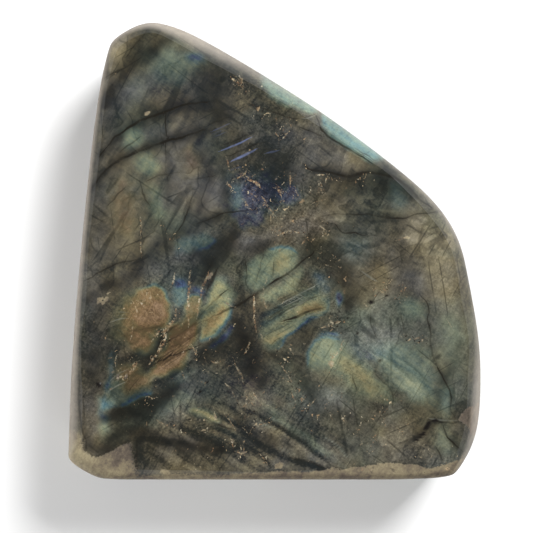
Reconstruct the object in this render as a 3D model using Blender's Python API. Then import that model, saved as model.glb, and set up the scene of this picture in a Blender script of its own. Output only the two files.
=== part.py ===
"""A polished labradorite freeform: one slab of stone, lying on its flat back.

Run with: blender --background --python part.py

The slab is a loft. Its outline is a smooth closed curve, and at every point of it the edge was
ground a little differently, so the sections that are lofted together differ all the way round.
The stone lies in the XY plane with its face up (+Z) and its straight foot towards -Y.
"""

import math
from typing import NamedTuple

import bmesh
import bpy
from mathutils import Vector

MM = 0.001

# Driving dimensions, in mm
WIDTH = 109.0
HEIGHT = 120.0
THICKNESS = 24.0
CROWN = 1.2
BACK_EDGE = 2.2
BACK_EDGE_RISE = 3.2

# How finely the loft is cut
STEPS_PER_STATION = 5
FACE_RINGS = 5
BEVEL_RINGS = 7
WALL_RINGS = 4
BACK_EDGE_RINGS = 4
BACK_RINGS = 4

STONE_GREY_GREEN = (0.085, 0.088, 0.072, 1.0)
POLISH_ROUGHNESS = 0.18


class Station(NamedTuple):
    """A point that the outline bends round, and the edge that was ground beside it, in mm."""

    x: float
    y: float
    # How far the front edge's bevel reaches in over the face, and how far down the side
    bevel: float = 1.6
    drop: float = 3.0
    # 2 rounds the bevel evenly, and 1 would make it one flat facet
    fullness: float = 2.0
    # How far the back's edge stands inside the outline
    undercut: float = 1.8


# Anticlockwise from the foot of the left side, seen from the front
STATIONS = (
    Station(-54.5, -52.5, 3.6, 5.0, 1.5, 1.2),
    Station(-54.5, -55.5, 4.0, 5.0, 1.6, 0.8),
    Station(-47.5, -59.5, 2.8, 4.0, 1.8, 0.4),
    Station(-43.5, -60.0, 2.2, 2.8, 1.8, 0.0),
    Station(-32.0, -60.0, 2.0, 2.6, 1.8, 0.0),
    Station(22.0, -60.0, 2.0, 2.6, 1.8, 0.0),
    Station(33.5, -60.0, 2.0, 2.6, 1.8, 0.0),
    Station(45.5, -59.5, 2.0, 3.0, 1.8, 0.4),
    Station(48.5, -58.0, 2.6, 4.6, 1.5, 1.2),
    Station(53.5, -50.0, 3.8, 8.0, 1.3, 2.6),
    Station(55.0, -39.5, 4.2, 9.0, 1.3, 3.0),
    Station(54.5, -24.5, 2.8, 7.0, 1.4, 3.0),
    Station(51.5, -9.0, 2.6, 5.5, 1.8, 2.6),
    Station(49.0, 3.0, 3.0, 5.5, 2.0, 2.4),
    Station(43.0, 12.5, 3.0, 5.0, 2.0, 2.4),
    Station(33.0, 21.5, 2.4, 4.5, 1.8, 2.2),
    Station(14.5, 35.5, 3.6, 5.0, 1.4, 2.2),
    Station(-3.5, 47.0, 3.4, 5.0, 1.4, 2.0),
    Station(-18.5, 56.0, 4.2, 6.5, 1.5, 2.0),
    Station(-27.0, 60.0, 4.6, 7.0, 1.6, 1.8),
    Station(-34.0, 61.0, 2.6, 5.0, 1.8, 1.8),
    Station(-42.0, 56.5, 2.0, 3.6),
    Station(-44.0, 53.0, 1.8, 3.4),
    Station(-47.0, 37.5, 1.6, 3.0),
    Station(-50.5, 5.5, 1.6, 3.0),
    Station(-53.5, -28.5, 2.0, 3.6, 1.7, 1.6),
)


def clear_scene():
    """Removes the startup objects."""
    for obj in list(bpy.data.objects):
        bpy.data.objects.remove(obj)


def blended_stations():
    """The stations blended round the stone by a closed quadratic B-spline, in all their numbers."""
    rows = []
    for i, middle in enumerate(STATIONS):
        before = STATIONS[i - 1]
        after = STATIONS[(i + 1) % len(STATIONS)]
        for step in range(STEPS_PER_STATION):
            t = step / STEPS_PER_STATION
            weights = ((1 - t) ** 2 / 2, 0.5 + t * (1 - t), t * t / 2)
            blended = [sum(w * v for w, v in zip(weights, values)) for values in zip(before, middle, after)]
            rows.append(Station(*blended))
    return rows


def fitted(rows):
    """The rows with their outline centred on the origin and stretched to the driving width and height."""
    xs = [row.x for row in rows]
    ys = [row.y for row in rows]
    middle_x, middle_y = (min(xs) + max(xs)) / 2, (min(ys) + max(ys)) / 2
    stretch_x = WIDTH / (max(xs) - min(xs))
    stretch_y = HEIGHT / (max(ys) - min(ys))
    return [row._replace(x=(row.x - middle_x) * stretch_x, y=(row.y - middle_y) * stretch_y) for row in rows]


def reach_to_side(rows, i):
    """The distance from the middle of the stone, square to the side at row i, to that side."""
    before, after = rows[i - 1], rows[(i + 1) % len(rows)]
    along_x, along_y = after.x - before.x, after.y - before.y
    return (rows[i].x * along_y - rows[i].y * along_x) / math.hypot(along_x, along_y)


def section(row, reach):
    """One section of the slab, from the middle of its face over the edge to the middle of its back.

    It is a list of (share, z): the share of the way from the middle out to the outline, and the height in mm.
    """
    crease = 1 - row.bevel / reach
    crease_z = THICKNESS - CROWN
    bevel_foot_z = crease_z - row.drop
    back_edge = 1 - row.undercut / reach
    flat_edge = back_edge - BACK_EDGE / reach
    points = []
    for k in range(1, FACE_RINGS):
        share = k / FACE_RINGS
        points.append((crease * share, THICKNESS - CROWN * share**2))
    for k in range(BEVEL_RINGS + 1):
        turn = k / BEVEL_RINGS * math.pi / 2
        out = math.sin(turn) ** (2 / row.fullness)
        down = 1 - math.cos(turn) ** (2 / row.fullness)
        points.append((crease + (1 - crease) * out, crease_z - row.drop * down))
    for k in range(1, WALL_RINGS):
        down = k / WALL_RINGS
        points.append((1 - (1 - back_edge) * down**2, bevel_foot_z + (BACK_EDGE_RISE - bevel_foot_z) * down))
    for k in range(BACK_EDGE_RINGS + 1):
        turn = k / BACK_EDGE_RINGS * math.pi / 2
        inward = (back_edge - flat_edge) * (1 - math.cos(turn))
        points.append((back_edge - inward, BACK_EDGE_RISE * (1 - math.sin(turn))))
    for k in range(1, BACK_RINGS):
        points.append((flat_edge * (1 - k / BACK_RINGS), 0.0))
    return points


def lofted_slab(rows):
    """A bmesh of the closed slab: rings of faces between neighbouring sections, and a fan at each middle."""
    bm = bmesh.new()
    columns = []
    for i, row in enumerate(rows):
        points = section(row, reach_to_side(rows, i))
        rim = Vector((row.x, row.y, 0)) * MM
        columns.append([bm.verts.new(rim * share + Vector((0, 0, z * MM))) for share, z in points])
    face_middle = bm.verts.new((0, 0, THICKNESS * MM))
    back_middle = bm.verts.new((0, 0, 0))
    for i, column in enumerate(columns):
        following = columns[(i + 1) % len(columns)]
        bm.faces.new((face_middle, column[0], following[0]))
        bm.faces.new((back_middle, following[-1], column[-1]))
        for upper, lower, next_lower, next_upper in zip(column, column[1:], following[1:], following):
            bm.faces.new((upper, lower, next_lower, next_upper))
    return bm


def labradorite():
    """The polished dark grey-green feldspar."""
    material = bpy.data.materials.new("polished_labradorite")
    material.use_nodes = True
    shader = material.node_tree.nodes["Principled BSDF"]
    shader.inputs["Base Color"].default_value = STONE_GREY_GREEN
    shader.inputs["Roughness"].default_value = POLISH_ROUGHNESS
    shader.inputs["Metallic"].default_value = 0.0
    return material


def make_stone():
    """The stone as one named object in a collection of its own."""
    collection = bpy.data.collections.new("labradorite_freeform")
    bpy.context.scene.collection.children.link(collection)
    mesh = bpy.data.meshes.new("labradorite_stone")
    bm = lofted_slab(fitted(blended_stations()))
    bm.to_mesh(mesh)
    bm.free()
    mesh.shade_smooth()
    mesh.materials.append(labradorite())
    stone = bpy.data.objects.new("labradorite_stone", mesh)
    collection.objects.link(stone)
    return stone


clear_scene()
make_stone()
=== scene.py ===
"""The looks of a polished labradorite freeform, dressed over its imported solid.

The stone lies on its flat back with the polished face up. Its surface is one closed numpy mesh,
and what the eye sees in it is painted by named features: the blue to copper flash of the feldspar,
the cracks and dark veins that cross it, the tan flecks along them and the rind left on its foot.
Every feature is a short path, outline or oval, placed from the middle of the face.
"""

import logging
import math
from dataclasses import dataclass, field
from enum import Enum
from functools import partial
from itertools import starmap
from typing import Any, Callable, Sequence

import bpy
import numpy as np
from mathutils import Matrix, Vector
from numpy.typing import NDArray


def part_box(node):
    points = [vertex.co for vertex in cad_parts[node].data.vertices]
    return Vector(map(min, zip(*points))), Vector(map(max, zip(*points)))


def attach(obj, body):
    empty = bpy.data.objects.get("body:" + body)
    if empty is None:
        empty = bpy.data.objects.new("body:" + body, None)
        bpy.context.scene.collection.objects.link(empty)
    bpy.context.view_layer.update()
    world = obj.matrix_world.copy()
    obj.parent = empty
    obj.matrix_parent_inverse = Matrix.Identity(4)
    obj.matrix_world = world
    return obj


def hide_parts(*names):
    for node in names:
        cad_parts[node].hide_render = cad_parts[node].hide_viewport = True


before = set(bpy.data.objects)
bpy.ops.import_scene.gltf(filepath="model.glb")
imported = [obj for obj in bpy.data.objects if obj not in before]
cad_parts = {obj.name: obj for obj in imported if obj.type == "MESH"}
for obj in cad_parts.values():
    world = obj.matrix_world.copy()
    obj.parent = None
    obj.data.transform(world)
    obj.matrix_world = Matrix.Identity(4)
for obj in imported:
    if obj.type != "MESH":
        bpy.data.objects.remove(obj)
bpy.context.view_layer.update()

LOG = logging.getLogger("labradorite")
Array = NDArray[np.float64]
Point = tuple[float, float]
Corner = Point | tuple[float, float, float]

MM = 0.001
NODE = "labradorite_stone"
STONE_LOW, STONE_HIGH = (np.array(corner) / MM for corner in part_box(NODE))
WIDTH, HEIGHT, THICKNESS = STONE_HIGH - STONE_LOW

# Shape of the slab, as in its solid, in mm
CROWN = 1.2
BACK_EDGE = 2.2
BACK_EDGE_RISE = 3.2

# How often the corners of a path or outline are cut, which rounds them
CUTS = 2
# How far from a path or outline its distances are worked out, and the distance past that, in mm
REACH = 9.0
FAR = 99.0
# Points, corners and ovals are written in tenths of a mm, and every other length in mm
PER_MM = 10


def linear(hex_colour: str) -> tuple[float, float, float, float]:
    """An sRGB hex colour as the linear values that a shader takes.

    Args:
        hex_colour: Six hex digits after a hash.

    Returns:
        Red, green and blue from 0 to 1, then 1 for the fourth value.
    """
    channels = [int(hex_colour[i : i + 2], 16) / 255 for i in (1, 3, 5)]
    red, green, blue = (c / 12.92 if c <= 0.04045 else ((c + 0.055) / 1.055) ** 2.4 for c in channels)
    return red, green, blue, 1.0


# Shape


@dataclass(frozen=True)
class Station:
    """A point that the outline bends round, and the edge that was ground beside it, in mm."""

    x: float
    y: float
    bevel: float = 1.6
    drop: float = 3.0
    fullness: float = 2.0
    undercut: float = 1.8
    # 0 is polished as the face is, and 1 is left frosted by the grinding, with a pale colour that is partly
    # painted reflection of the bright surroundings
    frost: float = 0.5


# Anticlockwise from the foot of the left side, seen from the front
STATIONS = (
    Station(-54.5, -52.5, 3.6, 5.0, 1.5, 1.2, 0.8),
    Station(-54.5, -55.5, 4.0, 5.0, 1.6, 0.8, 0.2),
    Station(-47.5, -59.5, 2.8, 4.0, 1.8, 0.4, 0.1),
    Station(-43.5, -60.0, 2.2, 2.8, 1.8, 0.0, 0.1),
    Station(-32.0, -60.0, 2.0, 2.6, 1.8, 0.0, 0.1),
    Station(22.0, -60.0, 2.0, 2.6, 1.8, 0.0, 0.1),
    Station(33.5, -60.0, 2.0, 2.6, 1.8, 0.0, 0.1),
    Station(45.5, -59.5, 2.0, 3.0, 1.8, 0.4, 0.1),
    Station(48.5, -58.0, 2.6, 4.6, 1.5, 1.2, 0.5),
    Station(53.5, -50.0, 3.8, 8.0, 1.3, 2.6, 0.7),
    Station(55.0, -39.5, 4.2, 9.0, 1.3, 3.0, 0.75),
    Station(54.5, -24.5, 2.8, 7.0, 1.4, 3.0, 0.5),
    Station(51.5, -9.0, 2.6, 5.5, 1.8, 2.6, 0.1),
    Station(49.0, 3.0, 3.0, 5.5, 2.0, 2.4, 0.5),
    Station(43.0, 12.5, 3.0, 5.0, 2.0, 2.4, 0.5),
    Station(33.0, 21.5, 2.4, 4.5, 1.8, 2.2, 0.3),
    Station(14.5, 35.5, 3.6, 5.0, 1.4, 2.2, 0.2),
    Station(-3.5, 47.0, 3.4, 5.0, 1.4, 2.0, 0.45),
    Station(-18.5, 56.0, 4.2, 6.5, 1.5, 2.0, 0.75),
    Station(-27.0, 60.0, 4.6, 7.0, 1.6, 1.8, 0.75),
    Station(-34.0, 61.0, 2.6, 5.0, 1.8, 1.8, 1.0),
    Station(-42.0, 56.5, 2.0, 3.6, 2.0, 1.8, 0.7),
    Station(-44.0, 53.0, 1.8, 3.4, 2.0, 1.8, 0.8),
    Station(-47.0, 37.5, 1.6, 3.0, 2.0, 1.8, 0.85),
    Station(-50.5, 5.5, 1.6, 3.0, 2.0, 1.8, 1.0),
    Station(-53.5, -28.5, 2.0, 3.6, 1.7, 1.6, 1.0),
)


# What crosses the stone


class LineKind(Enum):
    """What a thin line in the face is."""

    # A dark break
    CRACK = "crack"
    # A pale lamella that catches the light
    STREAK = "streak"
    # One that flashes blue
    SPARK = "spark"
    # A break filled with tan crumbs
    FILLED = "filled"


# What the mesh says at each point of the nearest line of a kind
LINE_PARTS = ("side", "near", "depth")


@dataclass(frozen=True)
class Line:
    """A thin line along a path.

    Args:
        path: Its points.
        half_width: Half its width, which thins out towards both ends.
        strength: How much of its own colour it has, from 0 to 1.
    """

    path: Sequence[Point]
    half_width: float = 0.25
    strength: float = 0.8


@dataclass(frozen=True)
class Vein:
    """A soft dark band along a path, where dark mineral fills an old break."""

    path: Sequence[Point]
    half_width: float
    depth: float


@dataclass(frozen=True)
class FleckTrail:
    """Pale tan crumbs strewn along a path. A wide, thin trail is a loose scatter."""

    path: Sequence[Point]
    half_width: float
    density: float


@dataclass(frozen=True)
class TonePatch:
    """A soft oval where the plain stone is lighter or darker, browner or greener, or more violet."""

    centre: Point
    reach: Point
    turn: float = 0.0
    tone: float = 0.0
    brown: float = 0.0
    violet: float = 0.0


@dataclass(frozen=True)
class Lamella:
    """A long band of the plain stone that is lighter or darker, browner or greener than its surroundings."""

    path: Sequence[Point]
    half_width: float
    tone: float
    brown: float = 0.0


@dataclass(frozen=True)
class FlashZone:
    """A part of the crystal that flashes.

    Its corners are (x, y, rim). Across a rim the colour runs up the spectrum, from blue at the zone's
    edge to its own colour inside. Where a corner has no rim the zone fades into the stone instead.

    Args:
        order: Its own colour, from 0, blue-black, over blue, teal, green and gold to 1, copper.
        glow: How much of the flash shows over the plain stone, from 0 to 1.
        fade: How far it takes to fade where it has no rim.
        corners: Its outline.
    """

    order: float
    glow: float
    fade: float
    corners: Sequence[Corner]


@dataclass(frozen=True)
class StripeField:
    """Parallel lamellae inside a soft outline.

    Args:
        angle: Their direction, in degrees from +X towards +Y.
        spacing: About how far apart they are, in mm.
        contrast: How far they lighten and darken the stone.
        shift: How far they move the flash along its spectrum.
        corners: The outline of their area, (x, y, fade).
    """

    angle: float
    spacing: float
    contrast: float
    shift: float
    corners: Sequence[Corner]


@dataclass(frozen=True)
class GrainArea:
    """How grainy the stone is inside a soft outline: 0 is clear, and 1 is full of fine grains and crumbs."""

    grain: float
    corners: Sequence[Corner]


@dataclass(frozen=True)
class Flake:
    """One larger oval: a pale crumb, or a pit that the material fills with painted shade."""

    centre: Point
    reach: Point
    turn: float = 0.0


# Each row that follows gives the fields of its class in order

CRACKS = tuple(starmap(Line, (
    # The long one, under the green patch
    (((97, -7), (76, -23), (58, -39), (38, -57), (-1, -80), (-20, -93), (-46, -111), (-72, -127),
        (-92, -140), (-118, -150), (-160, -171), (-186, -186)), 0.3, 1),
    (((-201, 68), (-181, 76), (-160, 83), (-134, 96), (-105, 101), (-51, 104)), 0.2, 0.8),
    # The two that cross the upper left
    (((-178, 384), (-222, 379), (-248, 374), (-285, 361), (-313, 351), (-344, 340), (-370, 325),
        (-404, 304), (-425, 286), (-456, 247)), 0.31, 0.9),
    (((-188, 312), (-243, 293), (-285, 283), (-326, 267), (-365, 252), (-409, 234), (-443, 208),
        (-466, 182), (-487, 143)), 0.31, 0.9),
    (((-334, 576), (-357, 542), (-388, 506)), 0.23, 0.7),
    (((-399, 472), (-425, 459), (-448, 446)), 0.23, 0.7),
    (((-331, 273), (-357, 260), (-383, 247)), 0.23, 0.7),
    (((-352, 293), (-375, 278), (-399, 260)), 0.23, 0.7),
    (((-285, 351), (-287, 322), (-282, 291)), 0.17, 0.7),
    (((-285, 278), (-287, 234), (-282, 187)), 0.17, 0.7),
    (((-334, 179), (-300, 195), (-248, 203)), 0.2, 0.7),
    (((-235, 187), (-209, 182), (-157, 195)), 0.2, 0.7),
    (((-352, 177), (-344, 143), (-326, 117)), 0.2, 0.7),
    (((-391, 164), (-409, 146), (-435, 117)), 0.2, 0.7),
    (((-214, 156), (-222, 117), (-240, 65), (-269, 31)), 0.23, 0.6),
    (((-365, -26), (-404, -31), (-435, -46), (-469, -65), (-495, -80)), 0.23, 0.7),
    # Along the slanting side
    (((-66, 379), (-35, 369), (-9, 361), (25, 345), (64, 340), (97, 351)), 0.2, 0.6),
    (((64, 319), (92, 309), (121, 296)), 0.2, 0.6),
    (((105, 353), (113, 327), (121, 309), (136, 296), (157, 283), (193, 260), (225, 242), (250, 226)),
        0.27, 0.9),
    (((209, 265), (235, 249), (261, 234)), 0.17, 0.7),
    # The broken one that leaves the right shoulder
    (((76, 221), (89, 208), (115, 205), (141, 203), (180, 190), (206, 192), (232, 203), (258, 200),
        (284, 195), (323, 182), (349, 161), (375, 130), (406, 112)), 0.39, 0.9),
    (((110, 83), (141, 94), (180, 91), (245, 94), (284, 83), (302, 83), (336, 81), (362, 94), (417, 99)),
        0.22, 0.7),
    (((245, 114), (271, 99), (302, 83)), 0.2, 0.7),
    (((157, 65), (170, 44), (206, 47), (225, 39), (258, 37)), 0.22, 0.8),
    # Down the right side
    (((378, -119), (396, -137), (399, -163), (393, -181), (404, -212), (401, -246), (409, -280),
        (422, -311), (437, -334), (453, -363), (458, -389), (453, -415), (466, -436)), 0.25, 0.8),
    (((370, -259), (401, -285), (422, -306)), 0.17, 0.6),
    (((326, -168), (331, -207), (344, -225)), 0.17, 0.6),
    (((245, -168), (248, -202), (261, -225)), 0.17, 0.6),
    (((258, -319), (271, -337), (292, -350), (305, -371), (305, -402)), 0.2, 0.7),
    (((199, -319), (204, -345), (209, -363)), 0.17, 0.6),
    # The lower right corner
    (((401, -441), (440, -448), (466, -451), (487, -436)), 0.23, 0.8),
    (((435, -459), (445, -485), (466, -506), (487, -524)), 0.23, 0.8),
    (((419, -516), (427, -529), (432, -544)), 0.2, 0.6),
    # Inside the green patch
    (((-33, -13), (-40, -46), (-48, -78)), 0.2, 0.6),
    (((-4, -31), (-7, -65)), 0.16, 0.5),
    (((-79, -31), (-74, -65), (-79, -85), (-66, -106)), 0.2, 0.7),
    # Dark lamellae
    (((123, -150), (95, -155), (71, -166), (53, -174), (19, -181)), 0.34, 0.95),
    (((110, -119), (64, -140), (6, -166)), 0.24, 0.7),
    (((89, -106), (56, -122), (-1, -153)), 0.26, 0.8),
    (((87, -116), (38, -140), (-20, -176)), 0.24, 0.7),
    (((64, -103), (12, -129)), 0.2, 0.6),
    (((22, -161), (-9, -179), (-35, -197)), 0.2, 0.5),
    (((32, -192), (1, -205), (-25, -220)), 0.2, 0.5),
    (((17, -223), (-9, -241), (-25, -257)), 0.18, 0.4),
    # Between the blue lamellae
    (((-173, 325), (-149, 335), (-123, 345)), 0.22, 0.6),
    (((-139, 270), (-108, 283), (-77, 299)), 0.18, 0.5),
    (((-129, 242), (-92, 257), (-61, 270), (-30, 280)), 0.22, 0.6),
    (((175, -264), (165, -288), (154, -311)), 0.17, 0.6),
    (((121, -233), (108, -254), (97, -275)), 0.16, 0.4),
    # In the copper field and beside it
    (((-196, -246), (-222, -257), (-248, -267), (-287, -280), (-326, -306)), 0.23, 0.8),
    (((-230, -176), (-259, -197), (-292, -218), (-300, -246), (-313, -285)), 0.39, 0.9),
    (((-370, -210), (-339, -205), (-305, -199)), 0.2, 0.5),
    (((-152, -52), (-165, -78), (-178, -111)), 0.4, 0.8),
    (((-123, -101), (-155, -129), (-181, -155), (-201, -176)), 0.2, 0.7),
    (((-134, -153), (-162, -174), (-196, -186), (-222, -210)), 0.18, 0.6),
    (((-201, -186), (-233, -207), (-264, -228), (-295, -249)), 0.2, 0.6),
    (((-199, -215), (-233, -236), (-269, -251)), 0.17, 0.5),
    (((-222, -236), (-259, -259), (-295, -275), (-321, -295)), 0.17, 0.6),
    (((-243, -272), (-274, -295), (-300, -316)), 0.15, 0.4),
    (((-305, -202), (-331, -212), (-362, -212)), 0.15, 0.4),
    (((-352, -332), (-373, -352), (-383, -373)), 0.18, 0.5),
    # The left edge and the lower left corner
    (((-510, -342), (-513, -389), (-508, -428), (-503, -467), (-492, -498)), 0.27, 0.7),
    (((-492, -500), (-487, -524), (-469, -537), (-446, -526), (-409, -513), (-388, -495), (-352, -493)),
        0.31, 0.35),
    (((-360, -493), (-362, -531), (-357, -570), (-355, -596)), 0.3, 0.5),
    (((308, -576), (308, -596)), 0.23, 0.8),
    # Between the lower stripes
    (((38, -539), (89, -550), (123, -563)), 0.35, 0.45),
    (((-183, -436), (-144, -456), (-103, -469)), 0.23, 0.6),
)))

STREAKS = tuple(starmap(Line, (
    (((102, -93), (64, -113), (12, -141)), 0.22, 0.75),
    (((74, -120), (25, -145)), 0.18, 0.5),
    (((84, -129), (27, -161)), 0.18, 0.35),
    (((126, -158), (95, -166), (64, -181)), 0.24, 0.3),
    (((-386, -176), (-407, -179), (-425, -186)), 0.16, 0.4),
    (((-388, -161), (-409, -161)), 0.14, 0.35),
    (((-388, -311), (-409, -321), (-427, -337)), 0.16, 0.4),
    (((-391, -342), (-412, -352), (-430, -365)), 0.16, 0.4),
    (((69, 343), (89, 343), (105, 353)), 0.18, 0.4),
    (((227, -57), (243, -70), (261, -80)), 0.3, 0.39),
    (((-131, -137), (-121, -142), (-111, -145)), 0.25, 0.33),
    (((401, -438), (440, -443), (471, -443)), 0.2, 0.33),
    (((183, 26), (219, 11), (248, -10)), 0.25, 0.13),
)))

# Lamellae that flash blue and violet on their own
SPARKS = tuple(starmap(Line, (
    (((-113, 232), (-85, 244), (-53, 260)), 0.3, 0.7),
    (((-142, 258), (-113, 269), (-90, 279), (-64, 293)), 0.22, 0.45),
    (((-162, 310), (-139, 319), (-121, 328)), 0.16, 0.3),
    (((-22, 252), (4, 258)), 0.24, 0.3),
    (((-118, 207), (-90, 216)), 0.2, 0.18),
    (((-155, 296), (-131, 306)), 0.14, 0.2),
)))

# Thin breaks filled with tan crumbs
FILLED = tuple(starmap(Line, (
    (((-220, -52), (-222, -78), (-227, -116), (-225, -135), (-230, -158), (-225, -194)), 0.31, 0.9),
    (((-264, -65), (-266, -80), (-269, -93)), 0.29, 0.8),
    (((-173, -59), (-181, -80), (-188, -93), (-194, -119), (-199, -137), (-204, -171)), 0.33, 0.8),
    (((-259, -158), (-261, -176), (-272, -192), (-282, -202), (-290, -218), (-287, -236), (-297, -249),
        (-305, -264)), 0.44, 1),
    (((-305, -264), (-318, -282), (-329, -298)), 0.29, 0.7),
    (((-300, -210), (-313, -223), (-321, -238)), 0.34, 0.7),
    (((-355, -288), (-368, -295), (-375, -311), (-378, -327)), 0.29, 0.8),
    (((-331, -109), (-326, -122), (-321, -135)), 0.29, 0.7),
    (((-368, -171), (-370, -197), (-375, -228)), 0.16, 0.5),
    (((-56, -122), (-56, -145), (-53, -168), (-56, -186), (-51, -207)), 0.29, 0.9),
    (((-30, -96), (-33, -114), (-30, -129), (-25, -148)), 0.29, 0.6),
    (((-22, -70), (-27, -88)), 0.23, 0.5),
    (((-66, -241), (-72, -254), (-79, -267)), 0.31, 0.8),
    (((175, -238), (170, -254), (160, -267), (152, -282)), 0.29, 0.7),
    (((123, -199), (141, -194), (170, -184)), 0.34, 0.6),
    (((-352, 81), (-349, 63), (-352, 44)), 0.23, 0.6),
    (((-349, 31), (-352, 11), (-349, -13)), 0.21, 0.5),
    (((14, -301), (25, -314), (38, -334)), 0.26, 0.6),
    (((-105, -301), (-92, -316), (-85, -340)), 0.26, 0.4),
    (((-77, 192), (-61, 182), (-46, 169)), 0.26, 0.6),
    (((-25, 117), (-14, 107), (-4, 94)), 0.29, 0.6),
    (((4, 166), (12, 156), (27, 151)), 0.23, 0.5),
    (((-113, 148), (-103, 151)), 0.21, 0.5),
    (((-77, 127), (-72, 114)), 0.26, 0.6),
    (((110, 174), (115, 159), (121, 148)), 0.21, 0.4),
    (((89, 166), (92, 151)), 0.2, 0.4),
    (((-116, 452), (-103, 439), (-90, 426)), 0.26, 0.7),
    (((-98, 457), (-90, 444), (-85, 431)), 0.23, 0.6),
    (((-217, -251), (-207, -264), (-209, -280)), 0.23, 0.6),
    (((-344, -111), (-336, -129), (-342, -145)), 0.21, 0.3),
    (((-79, -363), (-74, -384), (-77, -410)), 0.23, 0.5),
    (((-113, -368), (-103, -386), (-95, -399)), 0.21, 0.4),
    (((-129, -430), (-113, -451), (-105, -469)), 0.2, 0.4),
    (((-412, -332), (-401, -327), (-388, -332), (-399, -337)), 0.29, 0.7),
    (((173, -244), (170, -259), (157, -272), (144, -288)), 0.34, 0.9),
    (((144, -272), (149, -285), (144, -303)), 0.39, 0.7),
    (((-126, 236), (-123, 226), (-121, 213)), 0.2, 0.8),
    (((-123, 172), (-116, 164)), 0.24, 1),
    (((-105, 184), (-92, 190)), 0.2, 0.8),
    (((-87, 195), (-77, 187)), 0.2, 0.8),
    (((-72, 210), (-79, 197)), 0.18, 0.7),
    (((-69, 182), (-48, 177), (-40, 164)), 0.3, 1),
    (((-77, 122), (-74, 112), (-66, 107)), 0.26, 1),
    (((-35, 135), (-27, 127)), 0.22, 0.9),
    (((-1, 159), (6, 156), (14, 140)), 0.2, 0.8),
    (((-35, 114), (-25, 120)), 0.2, 0.7),
    (((-20, 117), (-14, 107), (-7, 94)), 0.2, 0.7),
    (((38, 203), (40, 187), (38, 164)), 0.18, 0.6),
    (((51, 159), (53, 148), (61, 138)), 0.18, 0.7),
    (((108, 195), (128, 195)), 0.24, 0.9),
    (((136, 192), (131, 182)), 0.2, 0.7),
    (((89, 159), (89, 151)), 0.2, 0.8),
    (((110, 159), (110, 148)), 0.18, 0.7),
    (((115, 177), (121, 164), (126, 153)), 0.15, 0.5),
    (((-1, 304), (6, 296)), 0.2, 0.7),
    (((14, 288), (25, 296)), 0.18, 0.7),
    (((76, 223), (79, 213), (87, 208)), 0.18, 0.7),
    (((-92, 65), (-82, 73)), 0.18, 0.6),
    (((-14, 89), (-12, 76)), 0.18, 0.6),
    (((95, 120), (105, 127), (126, 130)), 0.14, 0.4),
    (((14, 42), (27, 47), (38, 50)), 0.22, 0.8),
    (((48, 50), (64, 42), (79, 47)), 0.18, 0.6),
    (((115, 63), (126, 55)), 0.2, 0.7),
    (((121, 37), (131, 44)), 0.2, 0.6),
    (((1, 343), (4, 332)), 0.16, 0.5),
    (((38, 335), (40, 322)), 0.16, 0.5),
    (((134, -36), (141, -39)), 0.2, 0.8),
    (((144, -10), (152, -18)), 0.16, 0.5),
    (((35, -254), (43, -264)), 0.24, 0.8),
    (((19, -280), (30, -288)), 0.22, 0.8),
    (((-326, -106), (-329, -119), (-321, -135)), 0.22, 0.8),
    (((-357, -132), (-349, -135), (-344, -145)), 0.18, 0.7),
    (((-368, -137), (-360, -153), (-362, -174)), 0.18, 0.7),
    (((-412, -275), (-417, -285), (-417, -298)), 0.18, 0.7),
    (((-357, -290), (-365, -301), (-373, -314), (-378, -327)), 0.22, 0.8),
    (((-126, -137), (-118, -145), (-111, -145)), 0.22, 0.9),
    (((-43, -210), (-38, -220), (-35, -236)), 0.16, 0.6),
    (((-243, -314), (-240, -327)), 0.2, 0.7),
    (((-165, -290), (-157, -295), (-139, -288)), 0.2, 0.7),
    (((-186, -277), (-181, -288)), 0.16, 0.5),
    (((-108, -282), (-103, -306), (-92, -321), (-85, -340)), 0.16, 0.5),
    (((-129, -347), (-121, -355)), 0.22, 0.6),
    (((-329, -378), (-323, -386), (-313, -384)), 0.2, 0.7),
    (((-56, -371), (-51, -384)), 0.2, 0.7),
    (((-64, -394), (-56, -404)), 0.2, 0.7),
    (((-157, -425), (-152, -441)), 0.24, 0.8),
    (((-113, -495), (-111, -511)), 0.2, 0.7),
    (((-51, -454), (-35, -451)), 0.2, 0.7),
    (((-82, -464), (-74, -474)), 0.18, 0.6),
    (((-40, -531), (-30, -542), (-25, -552)), 0.2, 0.6),
    (((-98, -526), (-87, -529)), 0.26, 0.8),
    (((-305, -443), (-292, -448)), 0.2, 0.5),
    (((43, -373), (48, -386)), 0.22, 0.7),
    (((69, -394), (76, -384)), 0.18, 0.6),
    (((95, -399), (100, -391)), 0.18, 0.6),
    (((144, -428), (149, -441)), 0.18, 0.5),
    (((173, -433), (178, -443)), 0.18, 0.5),
    (((126, -199), (141, -197), (149, -199)), 0.24, 0.7),
    (((149, -186), (160, -192), (167, -184)), 0.22, 0.6),
    (((354, -231), (370, -228), (380, -233)), 0.14, 0.5),
    (((232, -140), (240, -145)), 0.2, 0.5),
    (((448, -186), (453, -194)), 0.2, 0.6),
    (((344, 34), (334, 29), (318, 26)), 0.2, 0.4),
)))

LINES = {LineKind.CRACK: CRACKS, LineKind.STREAK: STREAKS, LineKind.SPARK: SPARKS, LineKind.FILLED: FILLED}

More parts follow.
